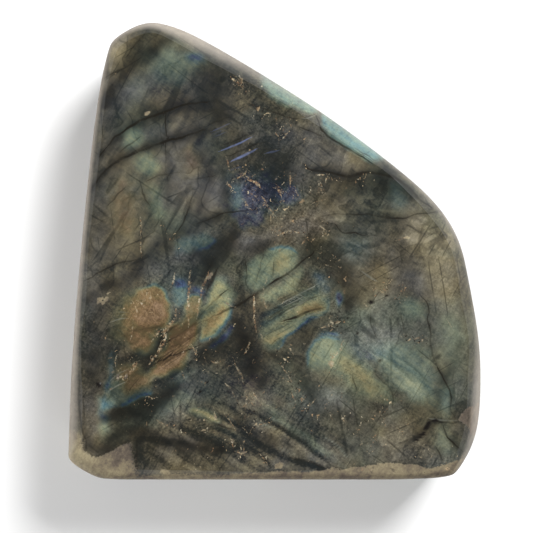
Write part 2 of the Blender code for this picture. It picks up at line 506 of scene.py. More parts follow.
VEINS = tuple(starmap(Vein, (
    # Smoky bands over the upper left
    (((-274, 553), (-321, 527), (-357, 501), (-394, 457), (-425, 415), (-448, 374)), 2.4, 0.6),
    (((-157, 389), (-222, 379), (-287, 363), (-331, 345), (-370, 322), (-417, 286), (-461, 239)), 2.6,
        0.55),
    (((-157, 317), (-222, 299), (-287, 280), (-326, 267), (-378, 249), (-430, 221), (-482, 156)), 2.2, 0.5),
    (((-196, 478), (-157, 441), (-165, 389), (-144, 325)), 5, 0.4),
    (((-279, 260), (-269, 195), (-274, 130)), 1.6, 0.25),
    (((-188, 260), (-165, 195), (-183, 130), (-209, 73)), 2, 0.35),
    (((-469, 338), (-487, 182), (-497, 0)), 2, 0.3),
    # The long one from the left edge to the dark middle
    (((-144, 89), (-183, 73), (-222, 57), (-261, 26), (-300, 5), (-339, -31), (-383, -67), (-425, -93),
        (-461, -109), (-492, -129)), 3, 0.6),
    (((-139, 208), (-129, 143), (-111, 91), (-103, 39)), 1.8, 0.4),
    (((-103, 47), (-139, 11), (-165, -20), (-181, -52), (-207, -67)), 4.6, 0.85),
    (((-103, 11), (-66, 11), (-35, 16), (-1, 24)), 1.8, 0.45),
    # Round the copper field
    (((-188, -275), (-157, -249), (-113, -223), (-85, -207)), 3.4, 0.6),
    (((-108, -186), (-92, -223), (-72, -259), (-53, -295), (-35, -337)), 4.2, 0.85),
    (((-443, -436), (-391, -417), (-326, -399), (-287, -378), (-253, -358)), 3.2, 0.95),
    (((-292, -207), (-300, -246), (-321, -285), (-344, -311)), 1.4, 0.6),
    (((-383, -218), (-375, -251), (-386, -280), (-409, -306)), 1.4, 0.4),
    (((-456, -119), (-461, -207), (-466, -290), (-474, -363)), 3, 0.35),
    # Between the green patches and at their right
    (((79, 11), (121, -10), (152, -36), (180, -72), (191, -114), (183, -150)), 4, 0.65),
    (((-98, -129), (-77, -161), (-51, -207), (-40, -259)), 3, 0.35),
    (((27, -249), (64, -228), (110, -192), (141, -166)), 2.4, 0.35),
    (((1, -275), (38, -306), (74, -347), (110, -399)), 3.2, 0.5),
    # Below
    (((-497, -482), (-477, -513), (-446, -516), (-409, -500), (-378, -482)), 1.6, 0.55),
    (((-430, -493), (-394, -472), (-347, -482), (-287, -498), (-222, -508), (-139, -519)), 2.6, 0.75),
    (((-103, -436), (-77, -467), (-35, -482), (1, -513)), 1.8, 0.5),
    (((64, -410), (121, -420), (199, -430)), 2.2, 0.35),
    (((357, -493), (380, -472), (406, -448), (427, -441)), 0.9, 0.5),
    (((284, 213), (318, 179), (352, 140)), 1.5, 0.5),
    (((-92, 478), (-66, 436), (-35, 395)), 1.6, 0.3),
    (((479, -238), (458, -290), (437, -327), (422, -363), (414, -415)), 2.4, 0.4),
    # Above
    (((-20, 255), (12, 213), (38, 177)), 4, 0.4),
    (((102, 208), (180, 192), (245, 192), (302, 172), (354, 140)), 3.4, 0.5),
    (((128, 63), (193, 73), (284, 83), (375, 94)), 1.6, 0.22),
    (((328, 0), (344, -67), (323, -119)), 3.5, 0.2),
)))

FLECK_TRAILS = tuple(starmap(FleckTrail, (
    (((76, 213), (141, 197), (180, 187), (284, 192)), 1.4, 0.35),
    (((-103, 192), (-61, 156), (-35, 117), (-9, 89)), 3.8, 0.3),
    (((38, 203), (48, 156), (58, 117)), 2.5, 0.22),
    (((-66, 379), (-20, 358), (25, 345), (97, 343)), 1.2, 0.25),
    (((-131, 462), (-103, 441), (-85, 415)), 1.8, 0.3),
    (((-1, 332), (12, 306), (43, 280)), 2.5, 0.25),
    (((1, 47), (38, 47), (76, 42), (126, 52)), 2.6, 0.45),
    (((64, 89), (102, 73), (141, 78)), 3, 0.15),
    (((-287, 57), (-269, 37), (-248, 11)), 2, 0.35),
    (((110, -13), (154, -41), (180, -78), (206, -109)), 2.2, 0.28),
    (((271, -88), (302, -98), (323, -109)), 2, 0.6),
    (((354, -233), (370, -228), (386, -236)), 1.2, 0.6),
    (((141, -384), (193, -428), (271, -436), (302, -467)), 4.5, 0.22),
    (((219, -467), (250, -506), (235, -550)), 3.5, 0.22),
    (((22, -264), (43, -324), (64, -384), (95, -415)), 2.2, 0.3),
    (((391, -570), (440, -560), (479, -539)), 1.6, 0.55),
    (((-79, -402), (-35, -454), (-66, -461)), 3, 0.25),
    (((-326, -420), (-261, -451), (-196, -461)), 3, 0.2),
    (((-149, -493), (-79, -524), (-25, -544)), 2, 0.25),
    (((-300, -550), (-196, -539), (-105, -550)), 2.2, 0.15),
    (((-209, -264), (-157, -285), (-92, -306)), 3.5, 0.18),
    (((344, -223), (370, -228), (391, -233)), 1, 0.45),
    (((115, 156), (154, 104), (180, 52)), 4, 0.08),
    (((-279, -218), (-300, -259), (-326, -301)), 1.6, 0.3),
    (((-383, -129), (-326, -129), (-274, -181)), 3.5, 0.12),
    (((-378, -269), (-394, -301), (-409, -337)), 2.5, 0.18),
    (((-59, -207), (-51, -259), (-35, -301)), 1.4, 0.25),
    (((-461, 441), (-409, 498), (-365, 532)), 3, 0.1),
    (((141, -181), (167, -186), (147, -207)), 1.6, 0.35),
    (((365, -550), (378, -534), (388, -519)), 2, 0.2),
    (((-92, 234), (-35, 239), (25, 234)), 3, 0.12),
)))

TONE_PATCHES = tuple(starmap(TonePatch, (
    # Top
    ((-269, 478), (80, 55), 20, 0.22, -0.2),
    ((-326, 553), (30, 30), 0, 0.1, 0.8),
    ((-362, 410), (40, 50), 0, 0.26, -0.1, 0.3),
    ((-160, 426), (60, 80), -20, -0.3, 0.8, 0.2),
    ((-108, 384), (45, 26), -15, 0.22, 0.8),
    ((-438, 358), (20, 90), -12, 0.14, 0.7, 0.2),
    ((-274, 322), (90, 50), 25, 0.08, 0, 0.3),
    ((-425, 358), (40, 90), -15, -0.14, 0.1, 0.2),
    ((-66, 286), (120, 80), -20, -0.14, 0.2, 0.35),
    ((64, 260), (90, 60), -35, 0.06, 0.3, 0.4),
    ((167, 234), (80, 40), -35, 0.16, 0.6, 0.1),
    # Left
    ((-248, 234), (60, 90), 0, 0.14, 0.6, 0.5),
    ((-181, 166), (60, 80), 0, 0.06, 0.5, 0.4),
    ((-388, 65), (50, 140), 5, 0.26, 0.6),
    ((-287, 73), (60, 50), 0, 0.1, -0.3, 0.2),
    ((-461, 91), (30, 140), 5, -0.1, 0.3, 0.3),
    ((-222, -5), (80, 40), 10, 0.02, -0.2, 0.3),
    ((-300, -52), (90, 40), 15, -0.06, -0.1, 0.5),
    ((-477, -223), (35, 200), 0, -0.12, 0.2, 0.5),
    ((-487, -428), (32, 140), 0, 0.06, 0.9, 0.1),
    ((-448, 421), (18, 100), -14, 0.3, 0.6, 0.1),
    ((-409, 529), (50, 26), 42, 0.45, 0.2),
    ((-513, -531), (50, 50), 0, 0.3, 0.2),
    ((-409, -570), (90, 30), -10, 0.16, 0.2),
    ((-425, -526), (70, 30), 10, -0.12, 0.6),
    ((500, -441), (36, 50), 0, -0.34, 0.8),
    ((466, -425), (24, 24), 0, -0.22, 0.4),
    # Middle
    ((1, 179), (50, 40), 0, -0.34, -0.1, 0.7),
    ((-61, 140), (34, 38), 0, 0.24, -0.3, 0.8),
    ((-103, 135), (17, 36), 0, 0.42, -0.6, 0.2),
    ((-129, 177), (16, 30), 0, 0, -0.7, 0.1),
    ((-35, 37), (120, 40), 10, 0.16, 0.8, 0.5),
    ((121, 99), (90, 40), 8, 0.16, 0.4, 0.1),
    ((-77, -161), (50, 50), 0, 0.04, 0.8),
    ((-157, -103), (30, 50), 0, -0.1, 0.2, 0.2),
    # Right
    ((250, 172), (90, 35), -15, -0.32, -0.2),
    ((318, 135), (36, 44), 20, 0.16, -0.5, 0.2),
    ((214, 5), (60, 60), 0, 0.12, -0.3, 0.3),
    ((323, -31), (90, 70), 0, -0.02, 0.9, 0.2),
    ((412, 31), (60, 90), 15, 0.3, 0.2),
    ((453, 0), (30, 50), 15, 0.2, 0.2),
    ((471, -67), (30, 60), 8, -0.14),
    ((422, -67), (50, 70), 10, 0.14, 0.7),
    ((287, -98), (80, 40), 15, 0.26, 0.5, 0.1),
    ((225, -181), (70, 80), 0, 0.2, -0.5, 0.1),
    ((323, -186), (60, 70), 0, -0.02, -0.4),
    ((463, -223), (50, 160), 0, 0.22, -0.4),
    ((484, -378), (30, 100), 0, 0.1, -0.2),
    # In the copper field
    ((-316, -150), (50, 50), 0, 0.1),
    ((-238, -207), (65, 32), 32, -0.24, 0.7),
    ((-303, -249), (13, 40), -25, -0.55, 0.6),
    ((-401, -176), (40, 60), 15, -0.26, 0.6),
    ((-347, -298), (24, 16), 30, -0.44, 0.4),
    ((-344, -231), (55, 44), 0, -0.34, 0.4),
    ((-168, -135), (30, 50), -25, -0.08),
    ((-357, -124), (40, 30), 0, -0.2, 0.4),
    ((-201, -415), (30, 13), -35, 0.08, 0.3),
    ((-264, -311), (50, 26), 32, -0.36, 0.3),
    ((-373, -342), (40, 26), 25, -0.26, 0.4),
    ((-248, -119), (20, 40), 0, 0.18, -0.4, 0.2),
    ((-451, -399), (26, 20), 0, 0.3, -0.4, 0.2),
    ((-446, -456), (24, 34), 0, 0.3, -0.2),
    ((-417, -285), (34, 34), 0, -0.36, 0.5),
    ((-401, -365), (34, 18), 0, -0.24, 0.3),
    ((-326, -290), (26, 18), 35, -0.2, 0.5),
    ((-155, -129), (20, 50), -25, 0.12),
    # Smaller lighter and darker places
    ((-334, -534), (38, 50), 0, -0.5, 1.6),
    ((-404, -544), (30, 20), 0, -0.18, 0.2),
    ((-61, -552), (30, 20), -25, 0.16, 0.8),
    ((173, -550), (40, 24), -20, 0.18, 0.1),
    ((-469, -67), (38, 120), 4, 0.34, 0.7),
    ((-66, 26), (40, 20), 0, 0.12, 0.4, 0.2),
    ((245, -194), (90, 70), -20, 0.2, -0.1),
    ((328, -238), (50, 34), 0, 0.16, -0.3),
    ((448, -176), (44, 120), 0, 0.16),
    ((378, 52), (44, 60), 0, 0.36, 0.4),
    ((326, 52), (40, 34), 0, -0.22),
    ((141, 133), (60, 24), 0, -0.2),
    ((193, 221), (70, 30), -35, 0.18, 0.2, 0.2),
    ((-121, 314), (55, 30), -20, 0.22, 0.5),
    ((-222, 351), (50, 20), -15, 0.1),
    ((-300, 392), (40, 40), 0, 0.12, 0.1),
    ((-375, 467), (30, 40), -30, 0.14, 0.5),
    ((-188, 133), (50, 60), 0, 0.4, 0.6, 0.2),
    ((61, -340), (46, 32), -35, 0.26, -0.2),
    ((173, -391), (60, 34), -10, 0.16, -0.2, 0.2),
    ((-14, -342), (34, 34), 0, -0.16, 0.3),
    ((-196, -334), (65, 34), 20, 0.2),
    ((-14, -288), (26, 26), 0, 0.14, 0.2),
    # Low in the middle
    ((-43, -399), (26, 24), 0, 0.34, 0.4),
    ((14, -397), (32, 20), -35, 0.14, 0.7),
    ((-339, -420), (50, 34), 15, -0.34, -0.4, 0.1),
    ((-77, -461), (24, 24), 0, -0.3, 0.6),
    ((-40, -493), (34, 20), -30, -0.18, 0.8),
    ((22, -490), (50, 18), -35, -0.36, 0.6),
    ((64, -485), (34, 16), -35, -0.26, 0.2),
    ((144, -519), (30, 16), -35, 0.22),
    ((48, -360), (70, 26), -35, 0.14, 0.2),
    ((-136, -526), (20, 16), 0, -0.45, 0.2),
    ((-92, -493), (30, 26), 0, 0.1, -0.2),
    ((-92, -519), (24, 18), -20, -0.34, 0.8),
    ((-318, -573), (40, 16), -15, 0.3, 1),
    ((-233, -521), (26, 16), -20, 0.24, 0.8),
    ((-438, -438), (20, 20), 0, 0.26, -0.2),
    ((-285, -456), (30, 20), -30, -0.14, 0.2),
    ((-248, -397), (65, 22), 28, 0.22, -0.2),
    ((-139, -389), (50, 30), -20, 0.08, -0.2),
    # In the green patches
    ((131, -264), (36, 44), 20, 0.34, -0.2),
    ((214, -316), (75, 26), -42, 0.22, 0.2),
    ((27, -31), (40, 34), 30, 0.26, -0.2),
    ((12, -93), (65, 22), 34, 0.24),
    ((-139, -129), (22, 70), 0, 0.24),
    ((354, -358), (55, 34), -42, 0.22, -0.2),
    ((323, -285), (65, 34), -42, 0.12, -0.2),
    ((276, -259), (45, 26), -30, 0.06, -0.2),
    # Below
    ((-181, -337), (100, 40), 0, -0.06, -0.3),
    ((-269, -410), (70, 24), 20, 0.2, -0.1, 0.1),
    ((-285, -550), (90, 45), -25, 0.16, 1.6),
    ((-175, -555), (100, 40), -25, 0.12, 1.5),
    ((-56, -552), (90, 40), -25, 0.04, 1.3),
    ((-92, -246), (50, 100), 10, -0.1, 0.9),
    ((147, -384), (70, 44), -10, 0.14, -0.7, 0.35),
    ((225, -503), (80, 50), -20, 0.12, -0.6, 0.3),
    ((313, -508), (80, 60), 0, 0.16, 0.7, 0.2),
    ((458, -506), (40, 60), 0, 0.14, -0.3),
    ((448, -350), (40, 90), 0, 0.14, -0.4),
)))

LAMELLAE = tuple(starmap(Lamella, (
    # Low in the middle, from the left to the right
    (((-222, -412), (-188, -425), (-149, -443), (-95, -469)), 0.85, 0.34, 0.6),
    (((-248, -420), (-212, -441), (-178, -454)), 0.28, 0.4, 0.3),
    (((-233, -433), (-181, -456), (-103, -482)), 0.45, -0.3),
    (((-186, -456), (-147, -477), (-111, -495)), 0.6, 0.12, 0.8),
    (((-248, -461), (-194, -487), (-134, -508)), 1.1, -0.36, 0.3),
    (((-300, -448), (-253, -474), (-217, -495), (-186, -508)), 0.6, 0.32, 0.7),
    (((-357, -493), (-300, -493), (-230, -503)), 0.8, -0.4, 1),
    (((-342, -495), (-287, -524), (-243, -552), (-201, -576)), 0.8, 0.26, 0.9),
    (((-326, -531), (-285, -555), (-253, -573)), 0.7, -0.16, 0.9),
    (((-222, -513), (-181, -537), (-139, -563)), 1.6, -0.14, 0.9),
    (((-136, -531), (-103, -552), (-66, -576)), 0.85, 0.26, 1),
    (((-103, -521), (-61, -539), (-17, -565)), 0.6, 0.32, 1),
    (((-108, -537), (-72, -555), (-46, -570)), 0.35, -0.22, 1),
    (((-66, -511), (-35, -531), (-12, -568)), 0.4, -0.4, 0.4),
    (((-14, -537), (14, -555), (43, -576)), 0.9, 0.14, 1),
    (((-98, -469), (-46, -503), (22, -539), (121, -568)), 0.9, -0.28, 0.9),
    (((38, -547), (79, -555), (126, -570)), 0.75, -0.3, 1),
    (((-56, -451), (-4, -472), (38, -495), (79, -524), (128, -557)), 0.95, 0.4, 0.2),
    (((-46, -448), (1, -464), (43, -487), (87, -516)), 0.3, 0.24, -0.6),
    (((-82, -412), (-35, -433), (25, -469), (71, -503), (126, -542)), 0.65, -0.36, 0.2),
    (((-9, -438), (53, -472), (115, -521), (183, -568)), 1.1, 0.2, -0.4),
    (((64, -438), (121, -480), (180, -526)), 0.45, -0.22, -0.2),
    (((128, -485), (162, -508), (188, -539)), 0.28, 0.46, -0.4),
    (((-194, -415), (-155, -436), (-85, -461)), 0.35, -0.3),
    (((-183, -399), (-131, -425), (-79, -448)), 0.7, 0.12, 0.2),
    (((-165, -386), (-113, -412), (-77, -436)), 0.4, -0.2),
    # In the copper field
    (((-292, -264), (-259, -246), (-222, -228), (-194, -205)), 0.35, -0.34, 0.4),
    (((-279, -233), (-248, -218), (-207, -186)), 0.5, -0.24, 0.4),
    (((-308, -298), (-274, -285), (-243, -269), (-214, -254)), 0.28, -0.4, 0.3),
    (((-378, -210), (-344, -207), (-313, -202), (-287, -192)), 0.28, -0.4, 0.4),
    (((-368, -254), (-336, -275), (-300, -290)), 0.6, -0.34, 0.4),
    (((-326, -347), (-290, -337), (-248, -311), (-217, -288)), 0.55, -0.3),
    # In the teal field
    (((240, -244), (282, -275), (318, -316)), 0.6, 0.1, -0.3),
    (((287, -259), (334, -290), (375, -332)), 0.6, 0.1, -0.4),
    (((271, -269), (318, -301), (360, -342)), 0.35, -0.24, -0.2),
    (((302, -264), (354, -301), (396, -342)), 0.3, -0.26, -0.2),
)))

FLASH_ZONES = tuple(starmap(FlashZone, (
    # Soft green and gold over the left side
    (0.5, 0.18, 4, ((-394, 260), (-313, 312), (-279, 273), (-274, 130), (-300, 39), (-357, 26), (-373, 91),
        (-388, 182))),
    (0.52, 0.62, 2, ((-401, 306), (-373, 319), (-347, 309), (-344, 275), (-378, 252), (-401, 260))),
    (0.53, 0.62, 2.2, ((-373, 252), (-326, 255), (-295, 213), (-326, 190), (-360, 210))),
    (0.52, 0.5, 2.2, ((-339, 172), (-308, 166), (-279, 99), (-305, 78), (-331, 114))),
    (0.76, 0.22, 3.4, ((-420, 192), (-388, 208), (-362, 156), (-357, 65), (-383, 26), (-425, 47),
        (-435, 130))),
    (0.78, 0.14, 2.6, ((-259, 265), (-207, 270), (-181, 234), (-196, 192), (-243, 192))),
    (0.44, 0.3, 3.5, ((-326, 493), (-248, 524), (-188, 506), (-196, 462), (-261, 428), (-313, 446))),
    (0.2, 0.35, 2, ((-227, 514), (-188, 514), (-183, 483), (-217, 478))),
    (0.46, 0.2, 3, ((-383, 441), (-336, 462), (-326, 395), (-373, 374))),
    # Blue and indigo in the middle
    (0.17, 0.15, 6, ((-129, 203), (-35, 213), (58, 187), (64, 130), (25, 109), (-14, 83), (-61, 65),
        (-113, 73), (-129, 117))),
    (0.34, 0.38, 1.8, ((-121, 174), (-98, 174), (-82, 156), (-85, 114), (-100, 99), (-111, 109),
        (-118, 143))),
    (0.17, 0.26, 2.6, ((-103, 104), (-66, 109), (-30, 101), (-25, 78), (-61, 63), (-100, 73))),
    (0.11, 0.28, 2.6, ((9, 164), (53, 166), (64, 138), (43, 117), (12, 125))),
    # The teal and blue tongue over the dark vein
    (0.38, 0.45, 2, ((-269, 16), (-238, 37), (-183, 44), (-149, 26, 8), (-165, 8, 8), (-196, -5, 8),
        (-222, -2), (-259, -10))),
    # Teal along the slanting edge
    (0.43, 0.95, 1.5, ((-46, 478), (1, 467), (76, 415), (121, 379), (95, 345), (51, 363), (1, 389),
        (-30, 421))),
    (0.39, 1, 1.4, ((115, 379), (160, 358), (214, 322), (266, 275), (292, 242), (261, 226), (206, 249),
        (162, 278), (121, 312))),
    # The copper field: its green fringe, the brown field, its copper, and what lies right of the break
    (0.74, 0.46, 3.4, ((-427, -181), (-407, -142), (-378, -111), (-339, -96), (-300, -93), (-279, -109),
        (-269, -155), (-300, -207), (-352, -249), (-399, -249), (-425, -218))),
    (0.84, 0.74, 2.6, ((-399, -207), (-399, -161), (-378, -124), (-347, -98, 6), (-310, -90, 9),
        (-285, -101, 9), (-277, -124, 8), (-269, -153), (-274, -186), (-305, -218), (-310, -254),
        (-334, -275), (-368, -259), (-383, -228))),
    (0.96, 0.72, 2.2, ((-357, -153), (-321, -129), (-292, -119), (-277, -142), (-277, -174), (-297, -192),
        (-329, -202), (-352, -197), (-362, -176))),
    (0.9, 0.6, 1.8, ((-279, -202), (-248, -176), (-201, -161), (-196, -223), (-220, -264), (-227, -290),
        (-253, -316), (-295, -334), (-326, -327), (-321, -301), (-292, -259))),
    (0.74, 0.62, 1.4, ((-248, -161), (-248, -124), (-222, -109, 7), (-191, -116, 7), (-188, -161),
        (-201, -192), (-233, -197))),
    (0.8, 0.46, 2.2, ((-420, -316), (-399, -290), (-368, -295), (-326, -327), (-326, -352), (-352, -373),
        (-378, -384), (-407, -368))),
    (0.38, 0.5, 1.5, ((-269, -129), (-269, -96), (-248, -78), (-225, -80), (-222, -129), (-243, -153),
        (-264, -153))),
    (0.18, 0.5, 1.3, ((-269, -93), (-256, -70), (-233, -70), (-222, -93), (-243, -98))),
    (0.2, 0.4, 1, ((-220, -106), (-214, -88), (-188, -96), (-178, -111), (-196, -114))),
    # Its green and blue foot, and the dark blue at its left
    (0.48, 0.42, 1.8, ((-448, -402), (-440, -358), (-420, -332), (-394, -347), (-383, -376),
        (-352, -368, 5), (-323, -358, 5), (-323, -365, 6), (-355, -381, 8), (-388, -394, 9),
        (-425, -410, 9))),
    (0.22, 0.34, 1.8, ((-446, -384), (-440, -337), (-438, -275), (-420, -254), (-420, -316), (-425, -363))),
    (0.15, 0.75, 0.8, ((-409, -404), (-383, -394), (-352, -381), (-321, -365), (-318, -373), (-349, -389),
        (-381, -402))),
    (0.42, 0.2, 1.5, ((-300, -358), (-259, -332), (-222, -306), (-201, -316), (-238, -342), (-279, -368))),
    # The yellow-green wing
    (0.66, 0.85, 1.8, ((-196, -161), (-178, -122), (-160, -85), (-144, -70), (-121, -88), (-105, -122),
        (-116, -153, 7), (-121, -179, 11), (-139, -202, 12), (-165, -225, 11), (-199, -244, 9),
        (-199, -202))),
    (0.48, 0.55, 1.8, ((-134, -109), (-113, -103), (-100, -129), (-111, -155), (-129, -145))),
    (0.76, 0.45, 1.8, ((-196, -186), (-165, -158), (-136, -140), (-142, -171), (-170, -202), (-194, -228))),
    (0.16, 0.45, 1.2, ((-175, -249), (-152, -228), (-126, -205), (-113, -189), (-108, -205), (-126, -231),
        (-157, -254))),
    # The green patch over the long crack, and what shows below the crack
    (0.52, 0.7, 2, ((-79, -31), (-56, -13), (-35, -2), (-4, 5, 9), (30, 13, 10), (53, 0, 9), (61, -20),
        (56, -39), (25, -65), (-14, -90), (-48, -111), (-66, -101), (-77, -67))),
    (0.68, 0.65, 2.5, ((1, -15), (32, 0), (53, -18), (27, -52), (-1, -70), (-14, -46))),
    (0.58, 0.72, 2, ((-46, -122), (-9, -93), (38, -65), (71, -39), (79, -57), (64, -88), (17, -119),
        (-25, -140))),
    # The striped one
    (0.54, 0.52, 2.4, ((-35, -218), (-25, -171), (12, -137), (58, -103), (105, -90), (131, -103),
        (136, -140, 8), (128, -161, 9), (95, -179, 9), (58, -199, 9), (32, -220, 10), (17, -246, 10),
        (-4, -264), (-30, -259))),
    (0.8, 0.55, 1.8, ((48, -166), (74, -142), (110, -132), (131, -145), (121, -161), (79, -176),
        (48, -181))),
    (0.16, 0.4, 1.2, ((147, -109), (162, -93), (178, -109), (173, -140), (157, -145))),
    # The blue-rimmed patch that turns to gold
    (0.55, 0.66, 2.6, ((74, -285, 12), (82, -259, 12), (102, -236, 11), (131, -220, 11), (157, -223, 10),
        (175, -238), (193, -264), (225, -290), (261, -329), (302, -365), (308, -394), (282, -399),
        (235, -378), (199, -358), (167, -327), (128, -311), (89, -306))),
    (0.68, 0.46, 3, ((162, -269), (193, -275), (235, -316), (282, -368), (276, -394), (230, -373),
        (193, -347), (162, -311))),
    (0.18, 0.45, 1, ((110, -218), (136, -205), (167, -210), (162, -220), (134, -218), (113, -231))),
    # Green and teal at the right
    (0.46, 0.5, 4, ((199, -246), (271, -228), (349, -246), (396, -264), (427, -316), (440, -368),
        (406, -410), (349, -384), (302, -358), (258, -306))),
    (0.44, 0.42, 3.4, ((292, -259), (336, -259), (370, -269), (396, -301), (386, -321), (349, -311),
        (318, -295))),
    (0.5, 0.56, 3.4, ((313, -327), (349, -321), (380, -337), (406, -373), (401, -399), (370, -384),
        (334, -363))),
    (0.42, 0.4, 2.5, ((422, -352), (453, -352), (458, -389), (458, -430), (427, -430), (412, -394))),
    (0.48, 0.34, 2.5, ((417, -456), (445, -467), (461, -500), (448, -534), (427, -524), (412, -493))),
    (0.5, 0.5, 2.5, ((318, -135), (349, -119), (380, -140), (391, -176), (360, -189), (328, -171))),
    (0.54, 0.25, 3, ((422, -176), (469, -161), (484, -233), (466, -298), (432, -264))),
    # Faint blue-greys
    (0.38, 0.26, 2, ((289, 182), (315, 182), (344, 151), (344, 109), (302, 109))),
    (0.36, 0.24, 4, ((180, 42), (250, 31), (261, -15), (206, -31), (178, -5))),
    (0.24, 0.26, 3.5, ((188, -249), (225, -238), (266, -259), (271, -301), (240, -306), (209, -285))),
    (0.36, 0.1, 5, ((199, -150), (266, -155), (302, -207), (287, -259), (225, -269), (188, -220))),
    (0.26, 0.28, 3, ((95, -46), (141, -57), (162, -98), (131, -119), (100, -88))),
    # Small spots low on the left
    (0.54, 0.62, 1.8, ((-459, -441), (-435, -441), (-425, -467), (-443, -482), (-461, -472))),
    (0.26, 0.66, 2, ((-464, -381), (-440, -378), (-422, -394), (-435, -415), (-461, -417))),
    (0.24, 0.35, 1.6, ((-466, -415), (-435, -420), (-425, -441), (-459, -446))),
    # Bright lower stripes
    (0.74, 0.7, 1.2, ((-233, -415), (-212, -397), (-175, -417), (-139, -443), (-155, -451), (-207, -428))),
    (0.44, 0.28, 2.5, ((-300, -394), (-248, -373), (-207, -378), (-238, -404), (-290, -420))),
    (0.52, 0.3, 1.6, ((-20, -410), (12, -430), (76, -477), (162, -534), (141, -539), (64, -493),
        (-4, -441))),
)))

# An area that two sets of stripes cross
LOWER_MIDDLE = (
    (-352, -506, 30), (-287, -441, 30), (-235, -394, 30), (-118, -378, 30), (-35, -368, 30),
    (76, -402, 30), (180, -467, 30), (225, -539, 30), (167, -565, 10), (-326, -570, 10),
)

STRIPE_FIELDS = tuple(starmap(StripeField, (
    (29, 1.3, 0.5, 0.2, ((-51, -212, 30), (-20, -142, 30), (76, -88, 20), (131, -93, 20), (152, -129, 15),
        (95, -186, 10), (25, -233, 15), (-20, -264, 30))),
    (-34, 2.4, 0.12, 0.05, LOWER_MIDDLE),
    (-40, 1.4, 0.34, 0.08, ((271, -264, 30), (362, -233, 30), (427, -311, 30), (401, -394, 30),
        (310, -376, 30))),
    (60, 1.3, 0.12, 0.05, ((-430, 234, 40), (-300, 493, 40), (-131, 363, 40), (-131, 78, 40),
        (-326, -26, 40), (-443, 0, 40))),
    (28, 1.4, 0.2, 0.04, ((-183, 312, 20), (-53, 351, 20), (-14, 260, 20), (-131, 213, 20))),
    (0, 0.9, 0.12, 0, ((310, -441, 20), (406, -482, 20), (401, -531, 20), (302, -519, 20))),
    (30, 1.7, 0.5, 0.1, ((-417, -246, 20), (-352, -207, 20), (-300, -246, 20), (-259, -161, 20),
        (-186, -129, 20), (-123, -129, 20), (-129, -207, 20), (-183, -246, 20), (-326, -363, 10),
        (-425, -389, 20))),
    (-6, 1.1, 0.2, 0, ((64, 117, 30), (193, 143, 40), (375, 117, 40), (453, 0, 40), (427, -129, 40),
        (271, -103, 40), (167, 0, 40), (76, 47, 30))),
    (-33, 1, 0.2, 0.02, LOWER_MIDDLE),
)))

GRAIN_AREAS = tuple(starmap(GrainArea, (
    (0.05, ((-495, 493, 30), (-326, 610, 30), (-131, 545, 30), (-92, 363, 50), (-123, 234, 30),
        (-131, 99, 30), (-196, 47, 40), (-287, 13, 40), (-404, -39, 40), (-534, -52, 30))),
    (0.25, ((64, 363, 40), (323, 260, 40), (505, 26, 40), (531, -441, 40), (427, -570, 40),
        (375, -129, 60), (219, -26, 60), (64, 91, 60))),
    (0.8, ((-113, 208, 30), (-35, 208, 30), (64, 177, 40), (95, 130, 40), (141, 47, 40), (12, 26, 40),
        (-66, 91, 30), (-113, 130, 30))),
    (0.6, ((-391, -129, 40), (-274, -90, 40), (-118, -129, 40), (-35, -155, 40), (25, -272, 40),
        (141, -415, 50), (167, -544, 30), (-118, -565, 30), (-326, -493, 40), (-430, -467, 30),
        (-378, -376, 40), (-326, -246, 40))),
    (0.8, ((89, 26, 30), (167, -31, 30), (209, -103, 30), (180, -207, 30), (128, -207, 30),
        (110, -78, 30))),
    (0.7, ((391, -552, 20), (427, -547, 20), (495, -537, 20), (492, -591, 20), (391, -591, 20))),
)))

TAN_FLAKES = tuple(starmap(Flake, (
    ((-459, -129), (5.50, 8), 20),
    ((-448, -135), (7.50, 4), 35),
    ((-440, -127), (6, 6.50), -10),
    ((-451, -124), (5, 3), 10),
    ((-464, -137), (4, 3)),
    ((-433, -111), (9, 1.60), 46),
    ((-170, -67), (4, 9), -30),
    ((144, -295), (6, 8), -20),
    ((375, -537), (3.50, 3)),
    ((-334, 356), (8, 4), 25),
    ((9, -560), (11, 8), 20),
    ((-287, -578), (13, 7), -30),
    ((-409, -329), (4, 6)),
    ((-388, -329), (6, 5)),
    ((430, -563), (6, 4), 30),
    ((341, 31), (7, 3), 5),
    ((1, 184), (3.50, 3)),
    ((-123, 172), (4.50, 2.50), -40),
    ((-48, 172), (7, 3), -45),
    ((-82, -524), (5, 4)),
    ((-155, -436), (3.50, 7), 25),
    ((-111, -498), (3, 7), -10),
)))

# Hollows in the face; the material paints their shade near-black
PITS = tuple(starmap(Flake, (
    ((250, -135), (8, 4), 12),
    ((188, -176), (3.50, 3.50)),
    ((212, -215), (3, 3.50)),
    ((274, -288), (2.80, 2.80)),
    ((-196, -368), (4.50, 3), 20),
    ((-178, -345), (5, 3), 35),
    ((305, -573), (3.50, 3)),
    ((287, -119), (3.50, 2.50)),
    ((-98, 488), (6, 4), -30),
    ((391, -461), (9, 6), 45),
    ((378, -482), (8, 5), 45),
    ((414, -443), (9, 4), 20),
    ((399, -451), (5, 9), -30),
    ((367, -493), (7, 4), 50),
    ((386, -477), (4, 6), 20),
    ((-461, -350), (8, 7)),
)))

